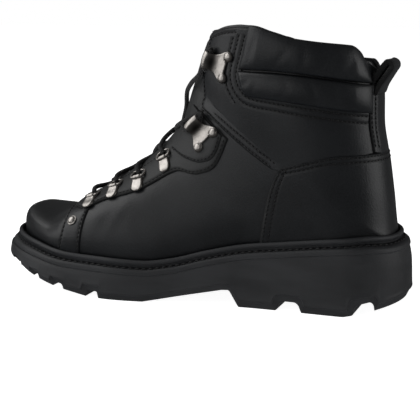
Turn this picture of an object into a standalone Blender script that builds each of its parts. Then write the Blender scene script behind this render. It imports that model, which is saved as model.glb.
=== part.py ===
"""Ankle-high lace-up work boot for the left foot, built from a last worked out section by section.

The toe points to -X, the outer (lateral) side to -Y and +Z is up. Sizes are in millimetres and MM turns
them into metres when a mesh is made. The upper, the pieces sewn on it, the tongue, the laces and the metal
fittings are all placed with the last's own surface, so changing a size or a row of a table moves them all.
"""
from collections import namedtuple

import bmesh
import bpy
import numpy as np

MM = 0.001

# Driving sizes of the boot
HEEL_END = 140.5
TOE_END = -134.5
TOE_ROUND = 58.0
TOE_POWER = 2.3
HEEL_ROUND = 38.0
HEEL_POWER = 2.1
TOE_FRONT = 36.0
TOE_BROW = 14.0
BROW_POWER = 2.3
WALL = 2.4
GAP = 0.3

# The sections stand upright ahead of the hinge and fan about it behind; spine is the length along them
HINGE_X = -60.0
HINGE_Z = 190.0
FAN_RADIUS = 110.0

# Plan of the feather line, where the upper meets the sole: along is the share of its length from the heel
Plan = namedtuple("Plan", "along half centre")
PLAN = (
    Plan(0.00, 34.0, 0.0),
    Plan(0.15, 34.5, 0.0),
    Plan(0.32, 33.0, -1.5),
    Plan(0.45, 35.5, -3.2),
    Plan(0.58, 42.0, -3.5),
    Plan(0.68, 47.0, -1.0),
    Plan(0.78, 46.8, 1.0),
    Plan(0.90, 42.0, 4.5),
    Plan(1.00, 36.5, 7.0),
)

# Side-view lines: the feather line, the ridge of the closed last and the back of the heel
Line = namedtuple("Line", "x z")
FEATHER = (
    Line(TOE_END, 31.0),
    Line(-108.0, 28.4),
    Line(-76.0, 24.4),
    Line(-46.0, 23.6),
    Line(-20.0, 22.9),
    Line(0.0, 25.6),
    Line(22.0, 31.6),
    Line(47.0, 37.2),
    Line(74.0, 40.8),
    Line(111.0, 45.2),
    Line(HEEL_END, 47.4),
)
RIDGE = (
    Line(TOE_END, 54.6),
    Line(-116.0, 51.2),
    Line(-99.0, 49.6),
    Line(-82.0, 59.4),
    Line(-49.0, 78.5),
    Line(-18.0, 103.5),
    Line(-4.0, 124.5),
    Line(1.0, 144.0),
    Line(6.0, 167.0),
    Line(11.5, 184.0),
    Line(14.0, 192.0),
)
BACK = (
    Line(HEEL_END, 47.4),
    Line(139.6, 50.0),
    Line(136.4, 75.0),
    Line(132.5, 101.0),
    Line(129.0, 122.0),
    Line(128.4, 140.0),
    Line(125.0, 158.0),
    Line(121.0, 170.0),
    Line(119.0, 176.0),
)

# Girth of each section: greatest half width, its level from ridge to base, roundness above and below it
Girth = namedtuple("Girth", "spine half level top_power base_power ridge_centre")
GIRTH = (
    Girth(TOE_END, 37.5, 0.62, 2.6, 2.6, 6.0),
    Girth(-108.0, 43.8, 0.62, 2.7, 2.6, 4.5),
    Girth(-84.0, 48.5, 0.68, 2.4, 2.5, 2.5),
    Girth(-60.0, 49.5, 0.74, 2.1, 2.5, 1.5),
    Girth(-31.0, 43.8, 0.78, 1.9, 2.2, 1.0),
    Girth(-2.0, 37.6, 0.72, 1.9, 2.1, 0.5),
    Girth(26.0, 37.0, 0.62, 2.0, 2.2, 0.0),
    Girth(42.0, 37.5, 0.58, 2.0, 2.3, 0.0),
    Girth(65.0, 38.5, 0.54, 2.1, 2.2, 0.0),
    Girth(84.0, 38.0, 0.52, 2.1, 2.2, 0.0),
    Girth(108.0, 38.5, 0.52, 2.1, 2.2, 0.0),
)

# Half of the throat's gap along the spine, and the spine length of the collar's edge around the ankle
Throat = namedtuple("Throat", "spine gap")
THROAT_END = -86.0
THROAT_ROUND = 14.0
THROAT = (
    Throat(THROAT_END, 12.0),
    Throat(-60.0, 14.0),
    Throat(0.0, 15.0),
    Throat(40.0, 18.0),
    Throat(108.0, 22.5),
)
Collar = namedtuple("Collar", "around spine")
COLLAR = (
    Collar(-1.00, 94.8),
    Collar(-0.76, 96.4),
    Collar(-0.62, 99.6),
    Collar(-0.29, 100.0),
    Collar(-0.14, 100.4),
    Collar(0.02, 103.0),
    Collar(0.16, 105.4),
    Collar(0.26, 105.4),
    Collar(0.41, 103.5),
    Collar(0.62, 96.2),
)
COLLAR_START = 84.0
# How much lower, in spine length, the collar's edge is on the inner side
Dip = namedtuple("Dip", "around depth")
INNER_DIP = (Dip(-1.0, 0.0), Dip(-0.8, 1.0), Dip(-0.6, 5.0), Dip(-0.3, 8.0), Dip(0.0, 9.2), Dip(0.3, 8.6),
             Dip(0.62, 8.5))

# Where the upper's sections are: how many ahead of the throat, then by spine, by x and by z up the back
TOE_STATIONS = 7
THROAT_STATIONS = (-84.0, -80.0, -74.0, -67.0)
FOOT_STATIONS = (-46.0, -30.0, -14.0, 4.0, 22.0, 40.0, 58.0, 76.0, 93.0, 108.0, 120.0, 129.0, 135.0, 138.4)
HEEL_STATIONS = (54.0, 66.0, 79.0, 92.5, 106.0, 120.0, 133.0)

# Sole: how far each ring stands out from the feather line, and its height from the tread and the seat
Ring = namedtuple("Ring", "side heel toe share drop")
SOLE_RINGS = (
    Ring(6.2, 8.4, 7.0, 0.0, 0.0),
    Ring(7.8, 11.2, 10.8, 0.0, 4.6),
    Ring(8.2, 11.5, 11.5, 0.0, 6.0),
    Ring(7.6, 10.6, 10.4, 0.62, 0.0),
    Ring(6.8, 8.8, 8.0, 1.0, -5.2),
    Ring(7.5, 9.4, 8.6, 1.0, -4.4),
    Ring(7.1, 8.4, 7.6, 1.0, -1.6),
    Ring(5.4, 5.8, 5.8, 1.0, -GAP),
)
TREAD = (
    Line(-150.0, 20.5),
    Line(-136.0, 15.6),
    Line(-112.0, 9.6),
    Line(-84.0, 4.2),
    Line(-58.0, 0.0),
    Line(-20.0, 0.0),
    Line(34.0, 11.0),
    Line(38.8, 11.2),
    Line(45.2, 0.0),
    Line(116.0, 0.0),
    Line(152.0, 8.0),
)
SOLE_SPACING = 30
# Cuts across the tread between its lugs: from the heel side to the toe side, depth and slope of their walls
Cut = namedtuple("Cut", "rear front depth slope")
LUG_CUTS = (
    Cut(134.5, 121.8, 9.0, 2.6),
    Cut(87.5, 71.5, 6.6, 4.2),
    Cut(-51.5, -61.0, 7.0, 1.0),
    Cut(-79.5, -87.0, 10.0, 1.0),
    Cut(-101.5, -107.0, 13.6, 1.0),
    Cut(-121.5, -127.0, 18.0, 1.0),
)
Channel = namedtuple("Channel", "rear front half depth")
TREAD_CHANNELS = (Channel(112.0, 52.0, 7.0, 4.0), Channel(-22.0, -122.0, 6.0, 4.0))
CUT_HALF = 70.0
CUT_BELOW = -2.0

# Welt: a bead that stands on the sole and lies against the upper
Bead = namedtuple("Bead", "out up")
WELT = (
    Bead(2.2, 0.0),
    Bead(2.2, 4.2),
    Bead(3.4, 4.9),
    Bead(4.7, 3.8),
    Bead(4.6, 2.2),
    Bead(3.8, 1.6),
    Bead(3.8, 0.0),
)
WELT_SPACING = 24

# Pieces sewn on the upper: thickness, and edges as side-view lines from front to back
SKIN = 1.2
COUNTER_SKIN = 1.5
COUNTER_UNDER = 0.75
UNDER_SKIN = 0.45
ABOVE_WELT = 5.4
Front = namedtuple("Front", "share x")
COUNTER_FRONT = (Front(0.0, 57.6), Front(0.38, 61.0), Front(0.72, 65.0), Front(1.0, 71.5))
Top = namedtuple("Top", "share z")
COUNTER_TOP = (Top(0.0, 93.5), Top(0.25, 97.8), Top(0.6, 103.0), Top(1.0, 103.6))
Edge = namedtuple("Edge", "x z")
Between = namedtuple("Between", "low_x low_z high_x high_z")
SHAFT = (
    Between(12.0, 129.0, 16.5, 142.0),
    Between(26.0, 119.5, 28.0, 139.0),
    Between(41.4, 108.7, 43.0, 137.0),
    Between(55.0, 99.4, 56.0, 136.0),
    Between(66.4, 92.6, 66.4, 135.0),
    Between(72.0, 96.0, 76.0, 133.8),
    Between(84.0, 99.4, 86.0, 132.4),
    Between(98.0, 103.6, 98.0, 130.8),
    Between(112.0, 105.8, 112.0, 128.6),
    Between(125.0, 106.6, 123.6, 126.8),
)
PAD_UPPER = (
    Between(42.8, 155.8, 50.4, 181.8),
    Between(63.0, 155.5, 65.0, 177.8),
    Between(83.0, 154.0, 81.0, 172.8),
    Between(99.0, 151.9, 96.0, 170.6),
    Between(112.0, 149.8, 108.6, 168.8),
    Between(122.6, 147.9, 117.4, 163.4),
)
PAD_LOWER = (
    Between(45.2, 139.2, 42.2, 153.6),
    Between(62.0, 137.6, 63.0, 153.2),
    Between(82.0, 135.2, 83.0, 151.8),
    Between(99.0, 132.8, 99.0, 149.7),
    Between(112.0, 130.7, 112.0, 147.7),
    Between(123.0, 129.0, 122.4, 145.9),
)
PUFF = 4.2
PAD_RIM = 0.9
PAD_ENDS = 8.0
PAD_COLUMNS = 10
PAD_ROWS = 4
STRAP_FRONT = (Edge(-85.6, 31.0), Edge(-82.6, 44.3), Edge(-82.3, 54.0))
STRAP_BACK = (Edge(-67.6, 28.0), Edge(-65.8, 45.9), Edge(-64.9, 55.4))
STRAP_ROWS = 6
STRAP_RIVET = Edge(-74.7, 49.6)

# Edges given on the last itself: spine length and the turn around the section, from the sole to the ridge
Trace = namedtuple("Trace", "spine around")
Span = namedtuple("Span", "start end")
EYESTAY_LOW = (Trace(-80.0, 0.602), Trace(-68.8, 0.465), Trace(-56.0, 0.507), Trace(-40.0, 0.487),
               Trace(-18.0, 0.472), Trace(-4.6, 0.434), Trace(8.0, 0.297), Trace(18.5, 0.251),
               Trace(35.8, 0.317))
EYESTAY_HIGH = Span(-79.0, 33.0)
HOOK_PANEL_LOW = (Trace(-3.2, 0.644), Trace(6.0, 0.444), Trace(14.0, 0.332), Trace(21.5, 0.295),
                  Trace(35.0, 0.349))
HOOK_PANEL_HIGH = Span(-2.6, 32.5)
STAY_HALF = 15.0
STAY_LOW = 105.4
STAY_HIGH = 158.0
LOOP_HALF = 11.0
LOOP_SKIN = 3.2
LOOP_PATH = (
    Line(130.4, 141.0),
    Line(131.0, 145.0),
    Line(132.8, 150.0),
    Line(136.0, 156.0),
    Line(139.5, 161.6),
    Line(139.8, 162.6),
    Line(138.7, 162.6),
    Line(135.0, 156.8),
    Line(132.2, 152.0),
    Line(131.3, 149.8),
)

# Lacing: rings then hooks, each on the spine and around the section; lift is what lies under the fitting
Fitting = namedtuple("Fitting", "spine around lift")
RINGS = (
    Fitting(-66.4, 0.534, 2.1),
    Fitting(-50.3, 0.557, 2.1),
    Fitting(-32.2, 0.528, 2.5),
    Fitting(-10.8, 0.541, 2.5),
)
HOOKS = (Fitting(25.3, 0.421, 4.0), Fitting(75.2, 0.395, 0.9))
RING_WIRE = 0.85
RING_HALF = 5.0
RING_REACH = 9.0
RING_AROUND = 0.86
RING_LIFT = 4.6
CLIP_LENGTH = 8.6
CLIP_HALF = 4.4
CLIP_SKIN = 1.3
LACE_RADIUS = 1.55
LACE_SIDES = 5
INSTEP_WAY = (0.6, 0.0, 0.8)
LACE_TURN = 1.9
LACE_BAR_LIFT = -1.3
LACE_BAR_AHEAD = 3.0
CREST_AROUND = 0.985
LACE_UNDER = 0.8
LACE_OVER = 3.1
Lacing = namedtuple("Lacing", "spine around low high")
LACES = (
    Lacing(-71.5, 0.93, 1.8, 2.4),
    Lacing(-55.0, 0.93, 1.8, 2.4),
    Lacing(-36.5, 0.93, 1.8, 2.4),
    Lacing(-15.5, 0.91, 1.8, 2.4),
    Lacing(21.0, 0.82, 2.4, 2.4),
    Lacing(70.0, 0.80, 2.4, 2.4),
)
Hook = namedtuple("Hook", "toward half rise")
HOOK_SHAPE = (
    Hook(-3.4, 7.4, 0.0),
    Hook(-1.7, 10.2, 0.0),
    Hook(0.0, 10.4, 0.0),
    Hook(1.9, 9.8, 0.0),
    Hook(4.2, 7.6, 0.1),
    Hook(6.6, 5.8, 0.8),
    Hook(9.2, 5.2, 2.6),
    Hook(11.8, 5.4, 4.2),
    Hook(15.0, 5.2, 4.0),
)
HOOK_ACROSS = (-1.0, -0.66, -0.3, 0.3, 0.66, 1.0)
HOOK_SKIN = 1.2
RIVET_AT = 7.6
RIVET_RADIUS = 3.0
RIVET_RISE = 1.4
RIVET_LIFT = 2.0
RIVET_SIDES = 8
RIVET_BASE = 0.4
Tongue = namedtuple("Tongue", "spine half")
TONGUE = (Tongue(-94.0, 18.0), Tongue(-60.0, 24.0), Tongue(0.0, 23.4), Tongue(99.0, 26.2))
TONGUE_SKIN = 3.6
TONGUE_GAP = 0.9
INSOLE_SPACING = 18
INSOLE_SKIN = 3.5
LATERAL = -1
MEDIAL = 1
SIDES = ((LATERAL, "lateral"), (MEDIAL, "medial"))
SAMPLES = 1500


def through(xs, ys, at):
    """Smooth curve through points: cubics whose slopes are harmonic means, so it never overshoots."""
    xs, ys, at = (np.asarray(v, float) for v in (xs, ys, at))
    step = np.diff(xs)
    slope = np.diff(ys) / step
    lean = np.concatenate([slope[:1], np.zeros(len(slope) - 1), slope[-1:]])
    before, after = slope[:-1], slope[1:]
    same = before * after > 0
    first, second = 2 * step[1:] + step[:-1], step[1:] + 2 * step[:-1]
    safe_before, safe_after = np.where(same, before, 1.0), np.where(same, after, 1.0)
    lean[1:-1] = np.where(same, (first + second) / (first / safe_before + second / safe_after), 0.0)
    i = np.clip(np.searchsorted(xs, at) - 1, 0, len(step) - 1)
    t = np.clip((at - xs[i]) / step[i], 0.0, 1.0)
    bend = step[i] * t * (1 - t) * (lean[i] * (1 - t) - lean[i + 1] * t)
    return ys[i] * (1 + 2 * t) * (1 - t) ** 2 + ys[i + 1] * t * t * (3 - 2 * t) + bend


def column(rows, key, value, at):
    """One column of a table as a smooth function of another."""
    return through([getattr(r, key) for r in rows], [getattr(r, value) for r in rows], at)


def rounded(share, power):
    """Rise from 0 to 1 along a rounded end."""
    return (1 - (1 - np.clip(share, 0.0, 1.0)) ** power) ** (1 / power)


def to_spine(x, z):
    """Spine length and distance from the hinge of a side-view point."""
    x, z = np.asarray(x, float), np.asarray(z, float)
    turn = np.arctan2(np.maximum(x - HINGE_X, 0.0), HINGE_Z - z)
    ahead = x <= HINGE_X
    spine = np.where(ahead, x, HINGE_X + FAN_RADIUS * turn)
    return spine, np.where(ahead, HINGE_Z - z, np.hypot(x - HINGE_X, HINGE_Z - z))


def feather_z(x):
    return column(FEATHER, "x", "z", x)


def back_x(z):
    return column(BACK, "z", "x", z)


def ridge_samples():
    x = TOE_END + (RIDGE[-1].x - TOE_END) * np.linspace(0.0, 1.0, SAMPLES) ** 2
    z = column(RIDGE, "x", "z", x)
    return to_spine(x, TOE_FRONT + (z - TOE_FRONT) * rounded((x - TOE_END) / TOE_BROW, BROW_POWER))


def base_samples():
    x = TOE_END + (HEEL_END - TOE_END) * (1 - np.cos(np.linspace(0.0, np.pi, SAMPLES))) / 2
    z = np.linspace(BACK[0].z, BACK[-1].z, SAMPLES)[1:]
    line_x = np.append(x, back_x(z))
    line_z = np.append(feather_z(x), z)
    return *to_spine(line_x, line_z), np.append(x, np.full(len(z), HEEL_END))


RIDGE_SPINE, RIDGE_REACH = ridge_samples()
BASE_SPINE, BASE_REACH, BASE_X = base_samples()
HEEL_SPINE = float(to_spine(HEEL_END, FEATHER[-1].z)[0])


def outline(along, side_out, heel_out, toe_out):
    """x, half width and centre of the feather plan grown outward, at shares of the length from the heel."""
    heel, toe = HEEL_END + heel_out, TOE_END - toe_out
    x = heel + (toe - heel) * along
    ends = rounded((x - toe) / TOE_ROUND, TOE_POWER) * rounded((heel - x) / HEEL_ROUND, HEEL_POWER)
    half = (column(PLAN, "along", "half", along) + side_out) * ends
    return x, half, column(PLAN, "along", "centre", along)


def section(spine):
    """Reach of ridge, widest line and base from the hinge, half widths and shape of the sections."""
    top = np.interp(spine, RIDGE_SPINE, RIDGE_REACH)
    base = np.interp(spine, BASE_SPINE, BASE_REACH)
    along = (HEEL_END - np.interp(spine, BASE_SPINE, BASE_X)) / (HEEL_END - TOE_END)
    _, foot, centre = outline(along, 0.0, 0.0, 0.0)
    girth = Girth(spine, *(column(GIRTH, "spine", name, spine) for name in Girth._fields[1:]))
    half = girth.half * rounded((spine - TOE_END) / TOE_ROUND, TOE_POWER)
    return top, top + girth.level * (base - top), base, half, np.minimum(foot, half), centre, girth


def last(spine, around, side):
    """Point of the last: around is -1 at the feather or back seam, 0 at the widest and 1 on the ridge."""
    spine, around = np.broadcast_arrays(np.asarray(spine, float), np.asarray(around, float))
    top, widest, base, half, foot, centre, girth = section(spine)
    bend = np.sin(np.abs(around) * np.pi / 2) ** 2
    kept = (foot / np.maximum(half, 1e-9)) ** girth.base_power
    above = around >= 0
    rise = widest - (widest - top) * bend ** (1 / girth.top_power)
    fall = widest + (base - widest) * bend ** (1 / girth.base_power)
    reach = np.where(above, rise, fall)
    tuck = np.where(above, (1 - bend) ** (1 / girth.top_power),
                    np.maximum(1 - (1 - kept) * bend, 0.0) ** (1 / girth.base_power))
    middle = centre + (girth.ridge_centre - centre) * np.maximum(around, 0.0) ** 2
    turn = np.maximum(spine - HINGE_X, 0.0) / FAN_RADIUS
    x = np.minimum(spine, HINGE_X) + reach * np.sin(turn)
    return np.stack([x, middle + side * half * tuck, HINGE_Z - reach * np.cos(turn)], -1)


def place(x, z):
    """Spine and around of a side-view point, the inverse of last()."""
    spine, reach = to_spine(x, z)
    top, widest, base, _, _, _, girth = section(spine)
    up = np.clip((widest - reach) / (widest - top), 0.0, 1.0) ** girth.top_power
    down = np.clip((reach - widest) / (base - widest), 0.0, 1.0) ** girth.base_power
    around = np.where(reach <= widest, np.arcsin(np.sqrt(up)), -np.arcsin(np.sqrt(down)))
    return spine, around * 2 / np.pi


def throat_edge(spine):
    """Turn around the section where the throat begins, 1 where the vamp is closed."""
    _, _, _, half, _, _, girth = section(spine)
    open_share = rounded((spine - THROAT_END) / THROAT_ROUND, 2.0)
    gap = column(THROAT, "spine", "gap", spine) * open_share
    return np.arccos(np.clip(gap / np.maximum(half, 1e-9), 0.0, 1.0) ** (girth.top_power / 2)) * 2 / np.pi


def inner_dip(around, side):
    """Spine length that the inner side's collar loses, nothing on the outer side."""
    return column(INNER_DIP, "around", "depth", around) * (side > 0)


def unit(v):
    return v / np.maximum(np.linalg.norm(v, axis=-1, keepdims=True), 1e-12)


def normals(spine, around, side):
    """Outward unit normals of the last, from its slopes along the spine and around the section."""
    step = 0.02
    along = last(spine + step, around, side) - last(spine - step, around, side)
    turn = np.clip(around, -0.995, 0.995)
    across = last(spine, turn + step / 8, side) - last(spine, turn - step / 8, side)
    return unit(np.cross(along, across)) * -side


def lifted(spine, around, side, height):
    """Points a height above the last."""
    height = np.asarray(height, float)
    return last(spine, around, side) + normals(spine, around, side) * height[..., None]


def frame_at(spine, around, side, lift):
    """Origin and unit axes on the last: along the spine, toward the ridge and outward."""
    spine, around = np.float64(spine), np.float64(around)
    out = normals(spine, around, side)
    step = 0.02
    toward = last(spine, around + step, side) - last(spine, around - step, side)
    toward = unit(toward - out * np.dot(toward, out))
    return last(spine, around, side) + out * lift, np.cross(toward, out) * side, toward, out


def sole_middle():
    """Middle of the sole's box, which is the boot's origin."""
    wide = max(SOLE_RINGS, key=lambda row: row.side)
    x, half, centre = outline(np.linspace(0.0, 1.0, SAMPLES), wide.side, wide.heel, wide.toe)
    return (x.max() + x.min()) / 2, ((centre + half).max() + (centre - half).min()) / 2


ORIGIN_X, ORIGIN_Y = sole_middle()

MATERIALS = {
    "leather": ((0.012, 0.012, 0.014), 0.42, 0.0),
    "facing": ((0.014, 0.015, 0.013), 0.55, 0.0),
    "rubber": ((0.014, 0.014, 0.015), 0.7, 0.0),
    "welt_rubber": ((0.010, 0.010, 0.011), 0.4, 0.0),
    "lining": ((0.018, 0.018, 0.018), 0.9, 0.0),
    "lace_cord": ((0.008, 0.008, 0.008), 0.85, 0.0),
    "nickel": ((0.62, 0.58, 0.52), 0.28, 1.0),
}


def material(name, kind):
    """A Principled material of its own for one node."""
    colour, rough, metal = MATERIALS[kind]
    mat = bpy.data.materials.new(f"{name}_{kind}")
    mat.use_nodes = True
    shader = mat.node_tree.nodes["Principled BSDF"]
    shader.inputs["Base Color"].default_value = (*colour, 1.0)
    shader.inputs["Roughness"].default_value = rough
    shader.inputs["Metallic"].default_value = metal
    mat.diffuse_color = (*colour, 1.0)
    return mat


def make(name, kind, bm):
    """Object of a finished mesh, moved to the boot's own origin, with its faces turned outward."""
    bmesh.ops.translate(bm, verts=bm.verts, vec=(-ORIGIN_X * MM, -ORIGIN_Y * MM, 0.0))
    bmesh.ops.recalc_face_normals(bm, faces=bm.faces)
    mesh = bpy.data.meshes.new(name)
    bm.to_mesh(mesh)
    bm.free()
    obj = bpy.data.objects.new(name, mesh)
    bpy.context.scene.collection.objects.link(obj)
    if kind:
        mesh.materials.append(material(name, kind))
    return obj


def add_grid(bm, points, close_rows=False, close_columns=False):
    """Quads over a grid of points; returns its vertices row by row."""
    rows = [[bm.verts.new(p * MM) for p in row] for row in points]
    n, m = len(rows), len(rows[0])
    for i in range(n if close_rows else n - 1):
        for j in range(m if close_columns else m - 1):
            i2, j2 = (i + 1) % n, (j + 1) % m
            bm.faces.new((rows[i][j], rows[i][j2], rows[i2][j2], rows[i2][j]))
    return rows


def fill_ring(bm, ring):
    """Strips across a ring that runs down one side of an outline and back up the other."""
    for i in range(len(ring) // 2):
        pair = [ring[i], ring[i + 1], ring[-i - 1], ring[-i % len(ring)]]
        bm.faces.new(list(dict.fromkeys(pair)))


def weld(bm):
    bmesh.ops.remove_doubles(bm, verts=bm.verts, dist=1e-6)
    bmesh.ops.dissolve_degenerate(bm, edges=bm.edges, dist=1e-7)


def slab(name, kind, inner, outer):
    """Closed solid between two grids of the same shape."""
    bm = bmesh.new()
    low, high = add_grid(bm, inner), add_grid(bm, outer)

    def ring(rows):
        return rows[0] + [r[-1] for r in rows[1:]] + rows[-1][-2::-1] + [r[0] for r in rows[-2:0:-1]]

    a, b = ring(low), ring(high)
    for i in range(len(a)):
        j = (i + 1) % len(a)
        bm.faces.new((a[i], a[j], b[j], b[i]))
    return make(name, kind, bm)


def tube(bm, path, radius, sides, axis, closed=False):
    """Round bar along a path with filled ends, or a closed ring; axis lies across the path."""
    ahead = np.roll(path, -1, 0) - np.roll(path, 1, 0)
    if not closed:
        ahead[0], ahead[-1] = path[1] - path[0], path[-1] - path[-2]
    ahead = unit(ahead)
    up = unit(np.cross(ahead, axis))
    over = np.cross(ahead, up)
    angle = np.linspace(0.0, 2 * np.pi, sides, endpoint=False)
    ring = up[:, None] * np.cos(angle)[None, :, None] + over[:, None] * np.sin(angle)[None, :, None]
    rows = add_grid(bm, path[:, None] + radius * ring, closed, True)
    if not closed:
        bm.faces.new(rows[0])
        bm.faces.new(rows[-1])


def combine(target, tool, operation):
    """Joins or cuts with an exact Boolean; the tool is hidden from renders."""
    mod = target.modifiers.new(operation.lower(), "BOOLEAN")
    mod.operation = operation
    mod.solver = "EXACT"
    mod.object = tool
    tool.hide_render = True
    tool.display_type = "WIRE"


def cosine(n, start=0.0, end=1.0):
    """n + 1 shares from start to end, close together at both."""
    return start + (end - start) * (1 - np.cos(np.linspace(0.0, np.pi, n + 1))) / 2


def tread_z(x):
    return np.interp(x, [r.x for r in TREAD], [r.z for r in TREAD])


def sole_stations():
    """Shares of the sole's length, close together at the ends, with one at each break of the tread."""
    heel, toe = HEEL_END + SOLE_RINGS[0].heel, TOE_END - SOLE_RINGS[0].toe
    breaks = [(heel - r.x) / (heel - toe) for r in TREAD]
    even = [t for t in cosine(SOLE_SPACING) if min(abs(t - b) for b in breaks) > 0.008]
    return np.array(sorted(even + [b for b in breaks if 0 < b < 1]))


def build_outsole():
    """Moulded sole: rings around the feather plan from the tread to the seat, with the lugs cut across."""
    along = sole_stations()
    first = SOLE_RINGS[0]
    x, _, _ = outline(along, first.side, first.heel, first.toe)
    low = tread_z(x)
    rings = []
    for row in SOLE_RINGS:
        rx, half, centre = outline(along, row.side, row.heel, row.toe)
        high = feather_z(rx)
        z = low + (high - low) * row.share + row.drop
        lateral = np.stack([rx, centre - half, z], -1)
        medial = np.stack([rx, centre + half, z], -1)
        rings.append(np.concatenate([lateral, medial[-2:0:-1]]))
    bm = bmesh.new()
    rows = add_grid(bm, np.array(rings), False, True)
    for ring in (rows[0], rows[-1]):
        fill_ring(bm, ring)
    weld(bm)
    sole = make("outsole", "rubber", bm)
    bm = bmesh.new()
    for cut in LUG_CUTS:
        profile = ((cut.rear, CUT_BELOW), (cut.rear - cut.slope, cut.depth),
                   (cut.front + cut.slope, cut.depth), (cut.front, CUT_BELOW))
        add_prism(bm, profile, -CUT_HALF, CUT_HALF)
    combine(sole, make("lug_cutter", None, bm), "DIFFERENCE")
    bm = bmesh.new()
    for row in TREAD_CHANNELS:
        top_rear, top_front = (float(tread_z(x)) + row.depth for x in (row.rear, row.front))
        profile = ((row.rear, CUT_BELOW), (row.rear, top_rear),
                   (row.front, top_front), (row.front, CUT_BELOW))
        add_prism(bm, profile, -row.half, row.half)
    combine(sole, make("channel_cutter", None, bm), "DIFFERENCE")


def add_prism(bm, profile, low, high):
    """Bar with a side-view profile, from one y to another."""
    near, far = ([bm.verts.new((x * MM, y * MM, z * MM)) for x, z in profile] for y in (low, high))
    bm.faces.new(near)
    bm.faces.new(far)
    for i in range(len(profile)):
        j = (i + 1) % len(profile)
        bm.faces.new((near[i], near[j], far[j], far[i]))


def loop_around(along, out, up):
    """Closed ring of points round the feather plan grown by a margin, at a height over its line."""
    x, half, centre = outline(along, out, out, out)
    z = feather_z(x) + up
    lateral = np.stack([x, centre - half, z], -1)
    medial = np.stack([x, centre + half, z], -1)
    return np.concatenate([lateral, medial[-2:0:-1]])


def build_welt():
    """Bead swept once round the feather line."""
    along = cosine(WELT_SPACING)
    rings = np.array([loop_around(along, bead.out, bead.up) for bead in WELT])
    bm = bmesh.new()
    add_grid(bm, rings, True, True)
    weld(bm)
    make("welt", "welt_rubber", bm)


def build_insole():
    """Footbed inside the upper, on the sole's seat."""
    along = cosine(INSOLE_SPACING)
    out = -(WALL + 3 * GAP)
    bm = bmesh.new()
    rings = np.array([loop_around(along, out, up) for up in (GAP, GAP + INSOLE_SKIN)])
    rows = add_grid(bm, rings, False, True)
    for row in rows:
        fill_ring(bm, row)
    make("insole", "lining", bm)


def upper_stations():
    """Spine lengths of the upper's sections, close together at the toe and the heel."""
    toe = TOE_END + (THROAT_END - TOE_END) * (1 - np.cos(np.linspace(0.0, np.pi / 2, TOE_STATIONS)))
    foot = to_spine(FOOT_STATIONS, feather_z(FOOT_STATIONS))[0]
    heel = to_spine(back_x(HEEL_STATIONS), HEEL_STATIONS)[0]
    return np.concatenate([toe, THROAT_STATIONS, [HINGE_X], foot, [HEEL_SPINE], heel, [COLLAR_START]])


def build_upper():
    """One hollow shell, open at the collar, the throat and underneath."""
    spine = upper_stations()
    turn = np.concatenate([np.linspace(-1.0, 0.0, 6), np.linspace(0.0, 1.0, 8)[1:]])
    edge = throat_edge(spine)
    around = np.where(turn[None, :] > 0, turn[None, :] * edge[:, None], turn[None, :])
    length = np.broadcast_to(spine[:, None], around.shape)
    rim_turn = np.where(turn > 0, turn * float(throat_edge(np.float64(97.0))), turn)
    bm = bmesh.new()
    for side, _ in SIDES:
        rim = column(COLLAR, "around", "spine", rim_turn) - inner_dip(rim_turn, side)
        rows = COLLAR_START + (rim - COLLAR_START) * np.array([[0.5], [1.0]])
        turns = np.where(turn > 0, turn * throat_edge(rows), turn)
        points = last(np.vstack([length, rows]), np.vstack([around, turns]), side)
        add_grid(bm, points + np.array([0.0, 0.0, GAP]))
    weld(bm)
    upper = make("upper", "leather", bm)
    shell = upper.modifiers.new("wall", "SOLIDIFY")
    shell.thickness = WALL * MM
    shell.offset = -1.0
    shell.use_rim = True


def build_tongue():
    """Padded tongue under the throat, from inside the vamp to the top of the shaft."""
    ahead = np.linspace(TONGUE[0].spine, HINGE_X, 4)
    spine = np.concatenate([ahead, np.linspace(HINGE_X, TONGUE[-1].spine, 12)[1:]])
    reach = column(TONGUE, "spine", "half", spine)
    _, _, _, half, _, _, girth = section(spine)
    limit = np.arccos((reach / half) ** (girth.top_power / 2)) * 2 / np.pi
    share = np.linspace(0.0, 1.0, 4)
    around = 1.0 - (1.0 - limit[:, None]) * share
    length = np.broadcast_to(spine[:, None], around.shape)
    depth = WALL + TONGUE_GAP
    sheets = []
    for below in (depth + TONGUE_SKIN, depth):
        halves = []
        for side, _ in SIDES:
            halves.append(lifted(length, around, side, np.full(around.shape, -below)))
        middle = (halves[0][:, :1] + halves[1][:, :1]) / 2
        sheets.append(np.concatenate([halves[0][:, :0:-1], middle, halves[1][:, 1:]], 1))
    slab("tongue", "facing", sheets[0], sheets[1])


def patch(table, columns, rows):
    """Spine and around over the side-view field between a low and a high edge, front to back."""
    number = np.arange(len(table))
    at = np.linspace(0.0, len(table) - 1.0, columns + 1)
    low_x, low_z, high_x, high_z = (through(number, values, at)[:, None] for values in zip(*table))
    t = np.linspace(0.0, 1.0, rows + 1)[None, :]
    return place(low_x * (1 - t) + high_x * t, low_z * (1 - t) + high_z * t)


def skin(name, kind, spine, around, side, thickness, base=UNDER_SKIN):
    """Piece of leather sewn on the upper, over a grid of spine and around."""
    raised = np.array([0.0, 0.0, GAP])
    inner = lifted(spine, around, side, np.full(spine.shape, base)) + raised
    outer = lifted(spine, around, side, np.broadcast_to(base + thickness, spine.shape)) + raised
    slab(name, kind, inner, outer)


def between(low, high, columns, rows):
    """Spine and around between a traced edge and the throat over a span of the spine."""
    share = np.linspace(0.0, 1.0, columns + 1)
    start, end = low[0].spine, low[-1].spine
    low_spine = start + (end - start) * share
    low_around = column(low, "spine", "around", low_spine)
    high_spine = high.start + (high.end - high.start) * share
    high_around = throat_edge(high_spine) - 0.004
    t = np.linspace(0.0, 1.0, rows + 1)[None, :]
    return (low_spine[:, None] * (1 - t) + high_spine[:, None] * t,
            low_around[:, None] * (1 - t) + high_around[:, None] * t)


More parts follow.
